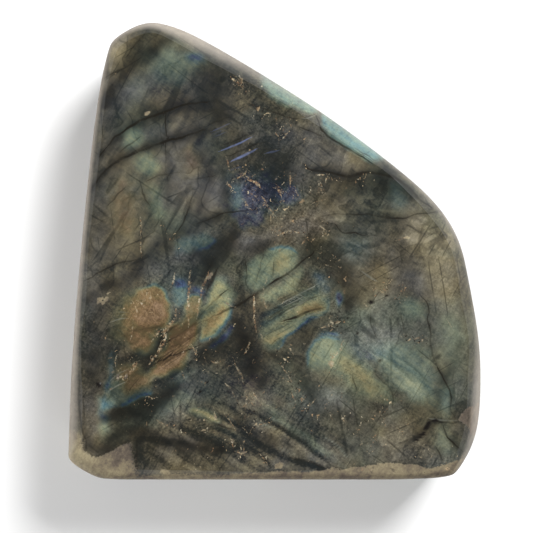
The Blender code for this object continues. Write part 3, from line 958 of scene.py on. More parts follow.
RIND_EDGE = (
    ((-575, -467, 40), (-523, -472, 40), (-503, -493, 30), (-492, -524, 16), (-466, -537, 14),
        (-440, -526, 14), (-409, -513, 16), (-386, -500, 26), (-368, -508, 50), (-360, -550, 60),
        (-347, -617, 60), (-575, -617, 30)),
    ((-373, -586, 30), (-300, -583, 30), (-196, -583, 30), (-92, -581, 24), (-35, -576, 16), (6, -576, 8),
        (64, -576, 8), (121, -573, 7), (144, -565, 6), (167, -573, 6), (206, -565, 6), (245, -557, 6),
        (271, -555, 6), (310, -557, 6), (349, -560, 6), (388, -563, 6), (419, -563, 8), (445, -557, 12),
        (479, -547, 14), (510, -550, 10), (484, -622, 8), (-373, -622, 8)),
    ((471, -441, 6), (489, -420, 6), (508, -407, 6), (552, -399, 10), (552, -503, 30), (515, -493, 24),
        (500, -461, 16)),
)


# Numpy helpers


def smooth(low: float, high: float, value: Array) -> Array:
    """A smooth step from 0 at low to 1 at high: 3t² less 2t³."""
    t = np.clip((value - low) / (high - low), 0.0, 1.0)
    return t * t * (3.0 - 2.0 * t)


def clouds(points: Array, size: float, seed: int, octaves: int = 3) -> Array:
    """Smooth random values, mostly between -1 and 1.

    Random numbers stand at the corners of a cubic lattice, and inside a cell they are blended by
    3t² less 2t³ along each axis. Each octave adds a lattice of half the size and half the height,
    moved on a little.

    Args:
        points: Places in mm, one row each.
        size: The lattice's cell in mm.
        seed: Starts the random numbers.
        octaves: How many lattices are added.

    Returns:
        One value for each point.
    """
    side, moved = 32, 7.3
    random = np.random.default_rng(seed)
    total = np.zeros(len(points))
    for octave in range(octaves):
        table = random.uniform(-1.0, 1.0, (side, side, side))
        place = points * 2**octave / size + moved * octave
        cell = np.floor(place).astype(int)
        t = place - cell
        blend = t * t * (3.0 - 2.0 * t)
        for corner in np.ndindex(2, 2, 2):
            index = (cell + corner) % side
            weight = np.where(corner, blend, 1.0 - blend).prod(axis=1)
            total += weight * table[index[:, 0], index[:, 1], index[:, 2]] / 2**octave
    return total


def cut_corners(corners: Array, ahead: Array) -> Array:
    """The points at a quarter and at three quarters of the way from each corner to the one ahead."""
    cut = np.stack([0.75 * corners + 0.25 * ahead, 0.25 * corners + 0.75 * ahead], axis=1)
    return cut.reshape(-1, corners.shape[1])


def along_path(places: Array, path: Sequence[Point]) -> tuple[Array, Array, Array]:
    """How places lie beside a path whose corners are cut twice.

    Each place is dropped square onto every piece, and its nearest foot counts.

    Args:
        places: Points in the XY plane in mm, one row each.
        path: The path's points, in tenths of a mm.

    Returns:
        The distance, the side as 1 or -1, and how far along the path the foot is, from 0 to 1.
        Places more than REACH from the path's own box keep the distance FAR.
    """
    corners = np.array(path) / PER_MM
    for _ in range(CUTS):
        between = cut_corners(corners[:-1], corners[1:])[1:-1]
        corners = np.concatenate([corners[:1], between, corners[-1:]])
    chosen = ((places > corners.min(axis=0) - REACH) & (places < corners.max(axis=0) + REACH)).all(axis=1)
    near = places[chosen]
    steps = np.diff(corners, axis=0)
    lengths = np.hypot(steps[:, 0], steps[:, 1])
    starts = np.concatenate([[0.0], np.cumsum(lengths)])
    nearest, side, travel = np.full(len(near), FAR), np.ones(len(near)), np.zeros(len(near))
    for start, step, length, before in zip(corners, steps, lengths, starts):
        offset = near - start
        share = np.clip(offset @ step / length**2, 0.0, 1.0)
        distance = np.hypot(*(offset - share[:, None] * step).T)
        closer = distance < nearest
        nearest[closer] = distance[closer]
        side[closer] = np.where(step[0] * offset[:, 1] - step[1] * offset[:, 0] < 0, -1.0, 1.0)[closer]
        travel[closer] = ((before + share * length) / starts[-1])[closer]
    found = np.full((3, len(places)), [[FAR], [1.0], [0.0]])
    found[:, chosen] = nearest, side, travel
    return found[0], found[1], found[2]


def inside(places: Array, corners: Sequence[Corner]) -> tuple[Array, Array]:
    """How deep places lie inside an outline, and what its nearest edge says.

    The outline's corners are cut twice, which rounds them. A place is inside if a ray from it
    crosses the outline an odd number of times.

    Args:
        places: Points in the XY plane in mm, one row each.
        corners: The outline's corners as (x, y, width), or (x, y) where the width is 0, in tenths
            of a mm.

    Returns:
        The distance to the outline in mm, negative outside, and the width at its nearest point.
        Places more than REACH outside keep -REACH and 0.
    """
    outline = np.array([(*corner, 0)[:3] for corner in corners]) / PER_MM
    low, high = outline[:, :2].min(axis=0) - REACH, outline[:, :2].max(axis=0) + REACH
    chosen = ((places > low) & (places < high)).all(axis=1)
    distance, width = np.full(len(places), -REACH), np.zeros(len(places))
    for _ in range(CUTS):
        outline = cut_corners(outline, np.roll(outline, -1, axis=0))
    near = places[chosen]
    nearest, found = np.full(len(near), np.inf), np.zeros(len(near))
    crossings = np.zeros(len(near), dtype=int)
    for (x0, y0, width0), (x1, y1, width1) in zip(outline, np.roll(outline, -1, axis=0)):
        step = np.array((x1 - x0, y1 - y0))
        offset = near - (x0, y0)
        share = np.clip(offset @ step / max(step @ step, 1e-9), 0.0, 1.0)
        gap = np.hypot(*(offset - share[:, None] * step).T)
        closer = gap < nearest
        nearest[closer] = gap[closer]
        found[closer] = (width0 + (width1 - width0) * share)[closer]
        if y0 != y1:
            spans = (y0 > near[:, 1]) != (y1 > near[:, 1])
            crossings += spans & (near[:, 0] < x0 + (near[:, 1] - y0) * (x1 - x0) / (y1 - y0))
    distance[chosen] = np.maximum(np.where(crossings % 2 == 1, nearest, -nearest), -REACH)
    width[chosen] = found
    return distance, width


def oval_reach(places: Array, centre: Point, reach: Point, turn: float) -> Array:
    """How far places are from an oval's centre, as a share of its half axes.

    Args:
        places: Points in the XY plane in mm, one row each.
        centre: The oval's centre, in tenths of a mm.
        reach: Its half axes, in tenths of a mm.
        turn: The first half axis's angle from +X, in degrees.

    Returns:
        0 at the centre, 1 on the oval and more outside.
    """
    angle = math.radians(turn)
    offset = places - np.array(centre) / PER_MM
    along = (offset[:, 0] * math.cos(angle) + offset[:, 1] * math.sin(angle)) / (reach[0] / PER_MM)
    across = (offset[:, 1] * math.cos(angle) - offset[:, 0] * math.sin(angle)) / (reach[1] / PER_MM)
    return np.hypot(along, across)


# The stone's surface


@dataclass
class StoneSurface:
    """The closed surface of the slab: its face, its ground edge and side, and its back.

    Face and back are square grids drawn out to the outline, and the rows of the edge and side are
    carried round between them. All its shapes are the solid's own.
    """

    # Half the face grid's squares along a side
    face_squares: int = 120
    bevel_rows: int = 12
    wall_rows: int = 8
    back_edge_rows: int = 4
    # How far inside the back edge the back's own grid ends, in mm
    back_inset: float = 0.35
    # How far below the top the dents in the face fade out, and how deep its pits, cracks and waves
    # are, in mm
    dent_reach: float = 2.2
    pit_depth: float = 0.28
    crack_depth: float = 0.09
    wave_depth: float = 0.02
    points: Array = field(init=False)
    frost: Array = field(init=False)
    ground: Array = field(init=False)
    faces: list[tuple[int, ...]] = field(init=False)

    def rim(self, turns: Array) -> dict[str, Array]:
        """The outline and the edge beside it, evenly spaced by length.

        The stations are blended by a closed quadratic B-spline: a point at share t of a station's
        stretch is (1-t)²/2 of the one before, 1/2 + t(1-t) of its own and t²/2 of the next.

        Args:
            turns: Places round the outline, from 0 to 1.

        Returns:
            Each of the stations' numbers there, and reach, the distance square to the side.
        """
        names = list(Station.__dataclass_fields__)
        rows = np.array([[getattr(station, name) for name in names] for station in STATIONS])
        samples, beside = 5201, 1e-4

        def blended(place: Array) -> Array:
            """The stations' numbers at places round the outline.

            Args:
                place: The places, counted in stations.

            Returns:
                One row for each place.
            """
            station = np.floor(place).astype(int) % len(rows)
            t = (place - np.floor(place))[:, None]
            before, after = rows[station - 1], rows[(station + 1) % len(rows)]
            return before * (1 - t) ** 2 / 2 + rows[station] * (0.5 + t * (1 - t)) + after * t * t / 2

        fine = np.linspace(0.0, len(rows), samples)
        outline = blended(fine)[:, :2]
        low, high = outline.min(axis=0), outline.max(axis=0)
        stretch = (WIDTH, HEIGHT) / (high - low)
        outline = (outline - (low + high) / 2) * stretch
        length = np.concatenate([[0.0], np.cumsum(np.hypot(*np.diff(outline, axis=0).T))])
        found = blended(np.interp(turns * length[-1], length, fine) % len(rows))
        found[:, :2] = (found[:, :2] - (low + high) / 2) * stretch
        ahead, behind = (
            np.stack([np.interp(near % 1.0 * length[-1], length, column) for column in outline.T])
            for near in (turns + beside, turns - beside)
        )
        along = (ahead - behind) / np.hypot(*(ahead - behind))
        result = dict(zip(names, found.T))
        result["reach"] = found[:, 0] * along[1] - found[:, 1] * along[0]
        return result

    def grid(self, squares: int) -> tuple[Array, Array]:
        """A square grid's points by ring and by place round the ring.

        Args:
            squares: Half the grid's squares along a side.

        Returns:
            The ring of each point, from 0 in the middle to 1, and its place round it, from 0 to 1,
            starting at the lower left corner.
        """
        steps = np.linspace(-1.0, 1.0, 2 * squares + 1)
        b, a = (axis.ravel() for axis in np.meshgrid(steps, steps, indexing="ij"))
        ring = np.maximum(np.abs(a), np.abs(b))
        safe = np.where(ring > 0, ring, 1.0)
        u, v = a / safe, b / safe
        lower, right, upper = v <= -1 + 1e-9, u >= 1 - 1e-9, v >= 1 - 1e-9
        place = np.select(
            [lower, right, upper],
            [(u + 1) / 8, 0.25 + (v + 1) / 8, 0.5 + (1 - u) / 8],
            0.75 + (1 - v) / 8,
        )
        return ring, place % 1.0

    def grid_ring(self, squares: int) -> Array:
        """The numbers of a grid's outermost points, in order round it from the lower left corner.

        Args:
            squares: Half the grid's squares along a side.

        Returns:
            The point numbers, counted from 0.
        """
        row = 2 * squares + 1
        steps = np.arange(row - 1)
        right, upper, left = (steps + 1) * row - 1, row * row - 1 - steps, row * (row - 1) - steps * row
        return np.concatenate([steps, right, upper, left])

    def grid_faces(self, squares: int, first: int, upwards: bool) -> Array:
        """The grid's squares.

        Args:
            squares: Half the grid's squares along a side.
            first: The number of its first point.
            upwards: Whether they face up.

        Returns:
            Rows of four point numbers.
        """
        row = 2 * squares + 1
        corner = (np.arange(row - 1)[:, None] * row + np.arange(row - 1)).ravel() + first
        order = (0, 1, row + 1, row) if upwards else (0, row, row + 1, 1)
        return corner[:, None] + np.array(order)

    def section(self, rim: dict[str, Array]) -> tuple[Array, Array]:
        """The edge, side and back edge at every place round the stone.

        The bevel is a superellipse: its share of the way out is sin(turn) to the power 2/fullness, and
        its share of the way down is 1 less cos(turn) to the same power. The side leans in with the
        square of its depth, and the back edge is a quarter of an oval.

        Args:
            rim: The rim's numbers, as arrays along the outline.

        Returns:
            The share of the way from the middle to the outline, and the height in mm, with one row
            for each row of the mesh below the face.
        """
        reach, power = rim["reach"], 2 / rim["fullness"]
        crease = 1 - rim["bevel"] / reach
        crease_z = THICKNESS - CROWN
        foot_z = crease_z - rim["drop"]
        back_edge = 1 - rim["undercut"] / reach
        flat_edge = back_edge - BACK_EDGE / reach
        shares, heights = [], []
        for turn in np.linspace(0, math.pi / 2, self.bevel_rows + 1)[1:]:
            shares.append(crease + (1 - crease) * math.sin(turn) ** power)
            heights.append(crease_z - rim["drop"] * (1 - max(math.cos(turn), 0.0) ** power))
        for down in np.linspace(0, 1, self.wall_rows + 1)[1:]:
            shares.append(1 - (1 - back_edge) * down**2)
            heights.append(foot_z + (BACK_EDGE_RISE - foot_z) * down)
        for turn in np.linspace(0, math.pi / 2, self.back_edge_rows + 1)[1:]:
            shares.append(back_edge - (back_edge - flat_edge) * (1 - math.cos(turn)))
            heights.append(np.full_like(reach, BACK_EDGE_RISE * (1 - math.sin(turn))))
        return np.array(shares), np.array(heights)

    def face(self) -> tuple[Array, Array]:
        """The polished face, crowned with the square of its ring.

        Returns:
            Its points, and how dull the grinding left each, which is only at its uneven border.
        """
        ring, place = self.grid(self.face_squares)
        rim = self.rim(place)
        share = ring * (1 - rim["bevel"] / rim["reach"])
        points = np.stack([rim["x"] * share, rim["y"] * share, THICKNESS - CROWN * ring**2], axis=1)
        uneven = 0.008 * clouds(points, size=12.0, seed=17, octaves=2)
        return points, smooth(0.984, 0.998, ring + uneven)

    def band(self) -> tuple[Array, Array]:
        """The bevel, the side and the back edge.

        Frost starts higher on the bevel where there is more of it, and thins out down the side. Its
        pale colour is partly painted reflection of the bright surroundings.

        Returns:
            Their points, row by row round the stone, and how frosted each is, with its painted reflection.
        """
        around = 8 * self.face_squares
        rim = self.rim(np.arange(around) / around)
        shares, heights = self.section(rim)
        points = np.stack([rim["x"] * shares, rim["y"] * shares, heights], axis=2).reshape(-1, 3)
        # 1 at the bevel's foot
        depth = np.arange(1, len(shares) + 1)[:, None] / self.bevel_rows
        # Frost, whose pale colour is partly painted reflection, starts higher where there is more of it
        start = 0.45 - 0.45 * rim["frost"]
        frost_and_reflection_spread = np.clip((depth - start) / 0.4, 0.0, 1.0) * (1 - 0.6 * smooth(1.1, 1.8, depth))
        return points, (rim["frost"] * frost_and_reflection_spread).ravel()

    def back(self, squares: int) -> Array:
        """The flat back's points.

        Args:
            squares: Half its grid's squares along a side.

        Returns:
            The points, at height 0.
        """
        ring, place = self.grid(squares)
        rim = self.rim(place)
        flat_edge = 1 - (rim["undercut"] + BACK_EDGE) / rim["reach"]
        share = ring * (flat_edge - self.back_inset / rim["reach"])
        return np.stack([rim["x"] * share, rim["y"] * share, np.zeros_like(share)], axis=1)

    def build(self) -> None:
        """Works out all points and faces, how frosted each point is, with its painted reflection, and how
        dull each point is.
        """
        back_squares = self.face_squares // 2
        face, face_ground = self.face()
        band, band_frost_and_reflection = self.band()
        back = self.back(back_squares)
        self.points = np.concatenate([face, band, back])
        # Frost only on the band; its pale colour is partly painted reflection
        self.frost = np.concatenate([np.zeros(len(face)), band_frost_and_reflection, np.zeros(len(back))])
        self.ground = np.concatenate([face_ground, np.ones(len(band) + len(back))])

        rows = np.concatenate([self.grid_ring(self.face_squares), len(face) + np.arange(len(band))])
        rows = rows.reshape(-1, 8 * self.face_squares)
        following = np.roll(rows, -1, axis=1)
        sides = np.stack([rows[:-1], rows[1:], following[1:], following[:-1]], axis=2).reshape(-1, 4)
        # Two squares of the side meet one of the back, by three triangles
        fine = rows[-1].reshape(-1, 2)
        next_fine = np.roll(rows[-1], -2).reshape(-1, 2)[:, 0]
        coarse = len(face) + len(band) + self.grid_ring(back_squares)
        next_coarse = np.roll(coarse, -1)
        seam = np.concatenate([
            np.stack([fine[:, 0], coarse, fine[:, 1]], axis=1),
            np.stack([fine[:, 1], coarse, next_coarse], axis=1),
            np.stack([fine[:, 1], next_coarse, next_fine], axis=1),
        ])
        upper = self.grid_faces(self.face_squares, 0, upwards=True)
        lower = self.grid_faces(back_squares, len(face) + len(band), upwards=False)
        self.faces = [tuple(corners) for part in (upper, sides, seam, lower) for corners in part.tolist()]

    def wear(self) -> None:
        """Dents the polished face a little: pits, open cracks and the polish's own slow waves.

        Each point moves down by the deepest of its pits' and cracks' hollows, which are bells of the
        distance, and by clouds of a few hundredths of a mm. The outline and the back stay.
        """
        on_face = smooth(THICKNESS - self.dent_reach, THICKNESS - CROWN, self.points[:, 2])
        places = self.points[:, :2]
        hollow = np.zeros(len(places))
        for pit in PITS:
            bell = np.exp(-(oval_reach(places, pit.centre, pit.reach, pit.turn) ** 2))
            hollow = np.maximum(hollow, self.pit_depth * bell)
        for crack in CRACKS:
            distance, _, travel = along_path(places, crack.path)
            # A little wider than the crack's own colour, and shallower towards its ends
            width = crack.half_width + 0.15
            taper = np.sin(np.pi * np.clip(travel, 0.04, 0.96)) ** 0.5
            depth = self.crack_depth * crack.strength * taper
            hollow = np.maximum(hollow, depth * np.exp(-((distance / width) ** 2)))
        waves = self.wave_depth * clouds(self.points, size=9.0, seed=21, octaves=2)
        self.points[:, 2] += on_face * (waves - hollow)

    def mesh(self, name: str) -> bpy.types.Mesh:
        """The surface as a Blender mesh, shaded smooth.

        Args:
            name: The mesh's name.

        Returns:
            The mesh, in metres.
        """
        mesh = bpy.data.meshes.new(name)
        mesh.from_pydata(self.points * MM, [], self.faces)
        mesh.shade_smooth()
        mesh.update()
        return mesh


# What is painted on the surface


@dataclass
class StonePaint:
    """The fields that the stone's material reads: one number for each point of the mesh."""

    points: Array
    # How frosted each point is; the pale frost is partly painted reflection
    frost: Array
    ground: Array
    # How far below the top what crosses the side starts to run slantwise, in mm, and how far it
    # then slides along for each mm down
    slant_from: float = 6.5
    slant: Point = (0.30, -0.22)
    # How far the clouds move soft features, the edges of crisp ones, bands and fine straight lines, in mm
    loose_by: float = 0.55
    tight_by: float = 0.22
    band_by: float = 0.12
    straight_by: float = 0.05
    # How many times longer a field's stripes are than wide
    stripe_draw: float = 12
    fields: dict[str, Array] = field(default_factory=dict)

    def places(self) -> Array:
        """The points' XY places, slid along below the bevel, so that cracks run slantwise down the side."""
        depth = np.clip(THICKNESS - self.slant_from - self.points[:, 2], 0.0, None)
        return self.points[:, :2] + depth[:, None] * self.slant

    def paint(self) -> None:
        """Works out every field."""
        flat = self.places()
        front = smooth(THICKNESS - 16, THICKNESS - 3, self.points[:, 2])
        wobble = np.stack([clouds(self.points, 4.0, seed) for seed in (1, 2)], axis=1)
        shaky = np.stack([clouds(self.points, 1.6, seed, 2) for seed in (3, 4)], axis=1)
        loose = flat + self.loose_by * wobble
        tight = flat + self.tight_by * shaky

        order, glow = self.flash(loose, front)
        stripes, stripe_shift = self.stripes(loose)
        veins = self.veins(loose)
        self.fields = self.plain_stone(loose, flat + self.band_by * wobble)
        self.fields["tone"] += stripes
        self.fields["veins"] = np.clip(veins, 0.0, 1.0)
        self.fields |= {
            "flash_order": np.clip(order + stripe_shift, 0.0, 1.0),
            "flash_glow": np.clip(glow * (1 - 0.6 * np.clip(veins, 0, 1)), 0.0, 1.0),
            "flecks": self.flecks(loose),
            "tan": self.tan(loose, tight),
            "pits": self.pits(tight),
            "frost": self.frost,
            "ground": self.ground,
        }
        for kind, lines in LINES.items():
            straight = kind in (LineKind.STREAK, LineKind.SPARK)
            found = self.lines(flat + self.straight_by * shaky if straight else tight, lines)
            self.fields |= {f"{kind.value}_{part}": values for part, values in zip(LINE_PARTS, found)}

    def plain_stone(self, places: Array, straight: Array) -> dict[str, Array]:
        """The plain stone's lightness, brown, violet and grain.

        They are clouds, with each soft oval's bell and each band added. A band is flat over the
        middle half of its width, and thinner at its ends.

        Args:
            places: Where the ovals are looked up, in mm.
            straight: Where the bands are looked up, in mm.

        Returns:
            The four fields by name.
        """
        tone = 0.13 * clouds(self.points, size=9.0, seed=5, octaves=4)
        brown = 0.55 + 0.45 * clouds(self.points, size=8.0, seed=6)
        violet = 0.12 + 0.40 * clouds(self.points, size=7.0, seed=7)
        for patch in TONE_PATCHES:
            bell = np.exp(-(oval_reach(places, patch.centre, patch.reach, patch.turn) ** 2))
            tone += patch.tone * bell
            brown += patch.brown * bell
            violet += patch.violet * bell
        for band in LAMELLAE:
            distance, _, travel = along_path(straight, band.path)
            width = band.half_width * (0.5 + 0.5 * np.sin(np.pi * travel) ** 0.5)
            cover = smooth(1.4, 0.5, distance / width)
            tone += band.tone * cover
            brown += band.brown * cover
        busy = 0.45 + 0.25 * clouds(self.points, size=10.0, seed=15, octaves=2)
        for area in GRAIN_AREAS:
            distance, width = inside(places, area.corners)
            busy += (area.grain - busy) * smooth(-1.0, 1.0, distance / np.maximum(width, 0.5))
        limited = {"brown": brown, "violet": violet, "busy": busy}
        return {"tone": tone} | {name: np.clip(values, 0.0, 1.0) for name, values in limited.items()}

    def flash(self, places: Array, front: Array) -> tuple[Array, Array]:
        """The flash's place in the spectrum, and how strong it is.

        Inside a zone the order rises with the depth from its edge and stops at the zone's own, and
        a later zone covers an earlier one. Away from the face the named zones fade, and clouds give
        the side and back a flash of their own.

        Args:
            places: Where the zones are looked up, in mm.
            front: 1 on the face and 0 on the back.

        Returns:
            The place in the spectrum and the strength, both from 0 to 1.
        """
        slow = clouds(self.points + 40.0, size=16.0, seed=8)
        order = np.clip(0.45 + 0.40 * slow * (1.2 - 0.8 * front), 0.0, 1.0)
        patches = clouds(self.points - 25.0, size=18.0, seed=9, octaves=2)
        glow = 0.10 + 0.6 * smooth(0.1, 0.7, patches) * (1 - front)
        ruffle = 0.28 * clouds(self.points, size=2.2, seed=10)
        for zone in FLASH_ZONES:
            distance, rim = inside(places, zone.corners)
            has_rim = smooth(0.2, 0.8, rim)
            below = 1 - smooth(-0.2, 1.0, distance / np.maximum(rim, 0.2) + ruffle)
            rise = zone.order * (1 - 0.65 * has_rim * below)
            fade = zone.fade + (0.9 * rim - zone.fade) * has_rim
            cover = smooth(-0.6, 1.0, distance / fade + 0.3 * has_rim + ruffle) * front
            order += (rise - order) * cover
            glow += (zone.glow - glow) * cover
        return order, glow

    def stripes(self, places: Array) -> tuple[Array, Array]:
        """How far the lamellae lighten the stone and shift its flash.

        Each field is clouds of the distance across its lines, stretched along them.

        Args:
            places: Where the fields are looked up, in mm.

        Returns:
            What to add to the lightness, and to the place in the spectrum.
        """
        tone = np.zeros(len(places))
        shift = np.zeros(len(places))
        for seed, stripe in enumerate(STRIPE_FIELDS, 30):
            angle = math.radians(stripe.angle)
            along = places @ (math.cos(angle), math.sin(angle))
            across = places @ (-math.sin(angle), math.cos(angle))
            drawn = np.stack([along / self.stripe_draw, across, self.points[:, 2] / 6], axis=1)
            lines = clouds(drawn, stripe.spacing, seed, 2)
            distance, width = inside(places, stripe.corners)
            cover = smooth(-0.5, 0.8, distance / np.maximum(width, 0.2))
            tone += stripe.contrast * lines * cover
            shift += stripe.shift * lines * cover
        return tone, shift

    def veins(self, places: Array) -> Array:
        """The dark veins, as bells of the distance, thinner at both ends.

        Args:
            places: Where they are looked up, in mm.

        Returns:
            How far they darken the stone, mostly from 0 to 1.
        """
        total = np.zeros(len(places))
        thin = 0.9 + 0.45 * clouds(self.points, size=5.0, seed=12, octaves=2)
        patchy = 0.85 + 0.35 * clouds(self.points, size=4.0, seed=13, octaves=2)
        for vein in VEINS:
            distance, _, travel = along_path(places, vein.path)
            width = vein.half_width * thin * (0.45 + 0.55 * np.sin(np.pi * travel) ** 0.5)
            total = np.maximum(total, vein.depth * np.exp(-((distance / width) ** 2)))
        return total * patchy

    def lines(self, places: Array, lines: Sequence[Line]) -> tuple[Array, Array, Array]:
        """The thin lines, as distances that the material turns into sharp strokes.

        Args:
            places: Where each point of the mesh is looked up, in mm.
            lines: The lines to draw.

        Returns:
            The distance in half widths with the side as its sign, the distance in mm, and the
            strength of the nearest line. The signed one crosses 0 in a straight run, so that a line
            finer than the mesh is still sharp, and the other keeps out every other crossing.
        """
        nearest = np.full(len(places), FAR)
        signed = np.full(len(places), FAR)
        depth = np.zeros(len(places))
        for line in lines:
            distance, side, travel = along_path(places, line.path)
            taper = 0.35 + 0.65 * np.sin(np.pi * np.clip(travel, 0.03, 0.97)) ** 0.5
            closer = distance < nearest
            nearest[closer] = distance[closer]
            signed[closer] = (distance * side / (line.half_width * taper))[closer]
            depth[closer] = line.strength
        uneven = np.clip(0.8 + 0.5 * clouds(self.points, size=3.5, seed=14, octaves=2), 0.15, 1.2)
        return np.clip(signed, -REACH, REACH), np.clip(nearest, 0, REACH), depth * uneven

    def flecks(self, places: Array) -> Array:
        """The pale crumbs, as bells of the distance from each trail, in clumps.

        Args:
            places: Where the trails are looked up, in mm.

        Returns:
            How thickly crumbs are strewn.
        """
        density = np.zeros(len(places))
        clumps = 0.25 + 1.5 * smooth(-0.1, 0.7, clouds(self.points, size=2.6, seed=16, octaves=2))
        for trail in FLECK_TRAILS:
            distance, _, _ = along_path(places, trail.path)
            density = np.maximum(density, trail.density * np.exp(-((distance / trail.half_width) ** 2)))
        return density * clumps

    def tan(self, loose: Array, tight: Array) -> Array:
        """The tan rind and the tan crumbs.

        Args:
            loose: Where the rind is looked up, in mm.
            tight: Where the crumbs are looked up, in mm.

        Returns:
            How tan the stone is, from 0 to 1.
        """
        cover = np.zeros(len(loose))
        for corners in RIND_EDGE:
            distance, width = inside(loose, corners)
            cover = np.maximum(cover, smooth(-0.3, 0.5, distance / np.maximum(width, 0.2)))
        for flake in TAN_FLAKES:
            crumb = oval_reach(tight, flake.centre, flake.reach, flake.turn)
            cover = np.maximum(cover, smooth(1.25, 0.75, crumb))
        return cover

    def pits(self, places: Array) -> Array:
        """The pits, whose shade the material paints near-black.

        Args:
            places: Where they are looked up, in mm.

        Returns:
            How much of a pit there is, from 0 to 1.
        """
        cover = np.zeros(len(places))
        for pit in PITS:
            reach = oval_reach(places, pit.centre, pit.reach, pit.turn)
            cover = np.maximum(cover, smooth(1.3, 0.7, reach))
        return cover

    def put_on(self, mesh: bpy.types.Mesh) -> None:
        """Stores every field as an attribute of a mesh's points.

        Args:
            mesh: The mesh, with the same points in the same order.
        """
        for name, values in self.fields.items():
            attribute = mesh.attributes.new(name, "FLOAT", "POINT")
            attribute.data.foreach_set("value", values.astype(np.float32))


# Finishes

Socket = bpy.types.NodeSocket
Add = Callable[..., Socket]

# For a kind of node: the setting that a word among its values is for, what that is without a word,
# and the output that is handed on
USUAL = {
    "Attribute": ("attribute_name", "", "Fac"),
    "MapRange": ("interpolation_type", "SMOOTHSTEP", "Result"),
    "Math": ("operation", "ADD", "Value"),
    "Mix": ("data_type", "RGBA", 2),
    "TexNoise": ("noise_dimensions", "3D", 0),
    "TexVoronoi": ("feature", "F1", "Distance"),
    "VectorMath": ("operation", "ADD", "Vector"),
}


def add_node(
    tree: bpy.types.NodeTree,
    kind: str,
    *values: Any,
    output: int | str | None = None,
    stops: Sequence[tuple[float, str]] = (),
) -> Socket:
    """Adds a node with its settings and links.

    Args:
        tree: The node tree that it goes into.
        kind: The node's type, without the ShaderNode that all of them start with.
        values: What goes into its inputs in order, as values or as sockets to link from. A dict
            gives inputs by name or number, and a word is the setting that USUAL names.
        output: The output to hand on, by name or number, where it isn't the usual one.
        stops: A colour ramp's places and hex colours.

    Returns:
        The output's socket.
    """
    node = tree.nodes.new("ShaderNode" + kind)
    setting, word, usual_output = USUAL.get(kind, ("label", "", 0))
    inputs: dict[int | str, Any] = {}
    for value in values:
        if isinstance(value, str):
            word = value
        elif isinstance(value, dict):
            inputs |= value
        else:
            inputs[len(inputs)] = value
    setattr(node, setting, word)
    if stops:
        elements = node.color_ramp.elements
        elements.remove(elements[1])
        for place, colour in stops:
            element = elements.new(place) if place else elements[0]
            element.color = linear(colour)
    for name, value in inputs.items():
        if isinstance(value, Socket):
            tree.links.new(value, node.inputs[name])
        else:
            node.inputs[name].default_value = value
    return node.outputs[usual_output if output is None else output]


def evenly(colours: Sequence[str]) -> list[tuple[float, str]]:
    """Hex colours with places spread evenly from 0 to 1."""
    return [(i / (len(colours) - 1), colour) for i, colour in enumerate(colours)]


@dataclass(frozen=True)
class Patterns:
    """What the layers of the stone's material share."""

    # Object coordinates in mm
    in_mm: Socket
    # Specks as fine as sand, and soft spots a few mm wide
    grain: Socket
    mottle: Socket
    # Fibres that run two ways
    hairs: Socket
    fine_hairs: Socket
    # How full of grains and crumbs the stone is there
    busy: Socket


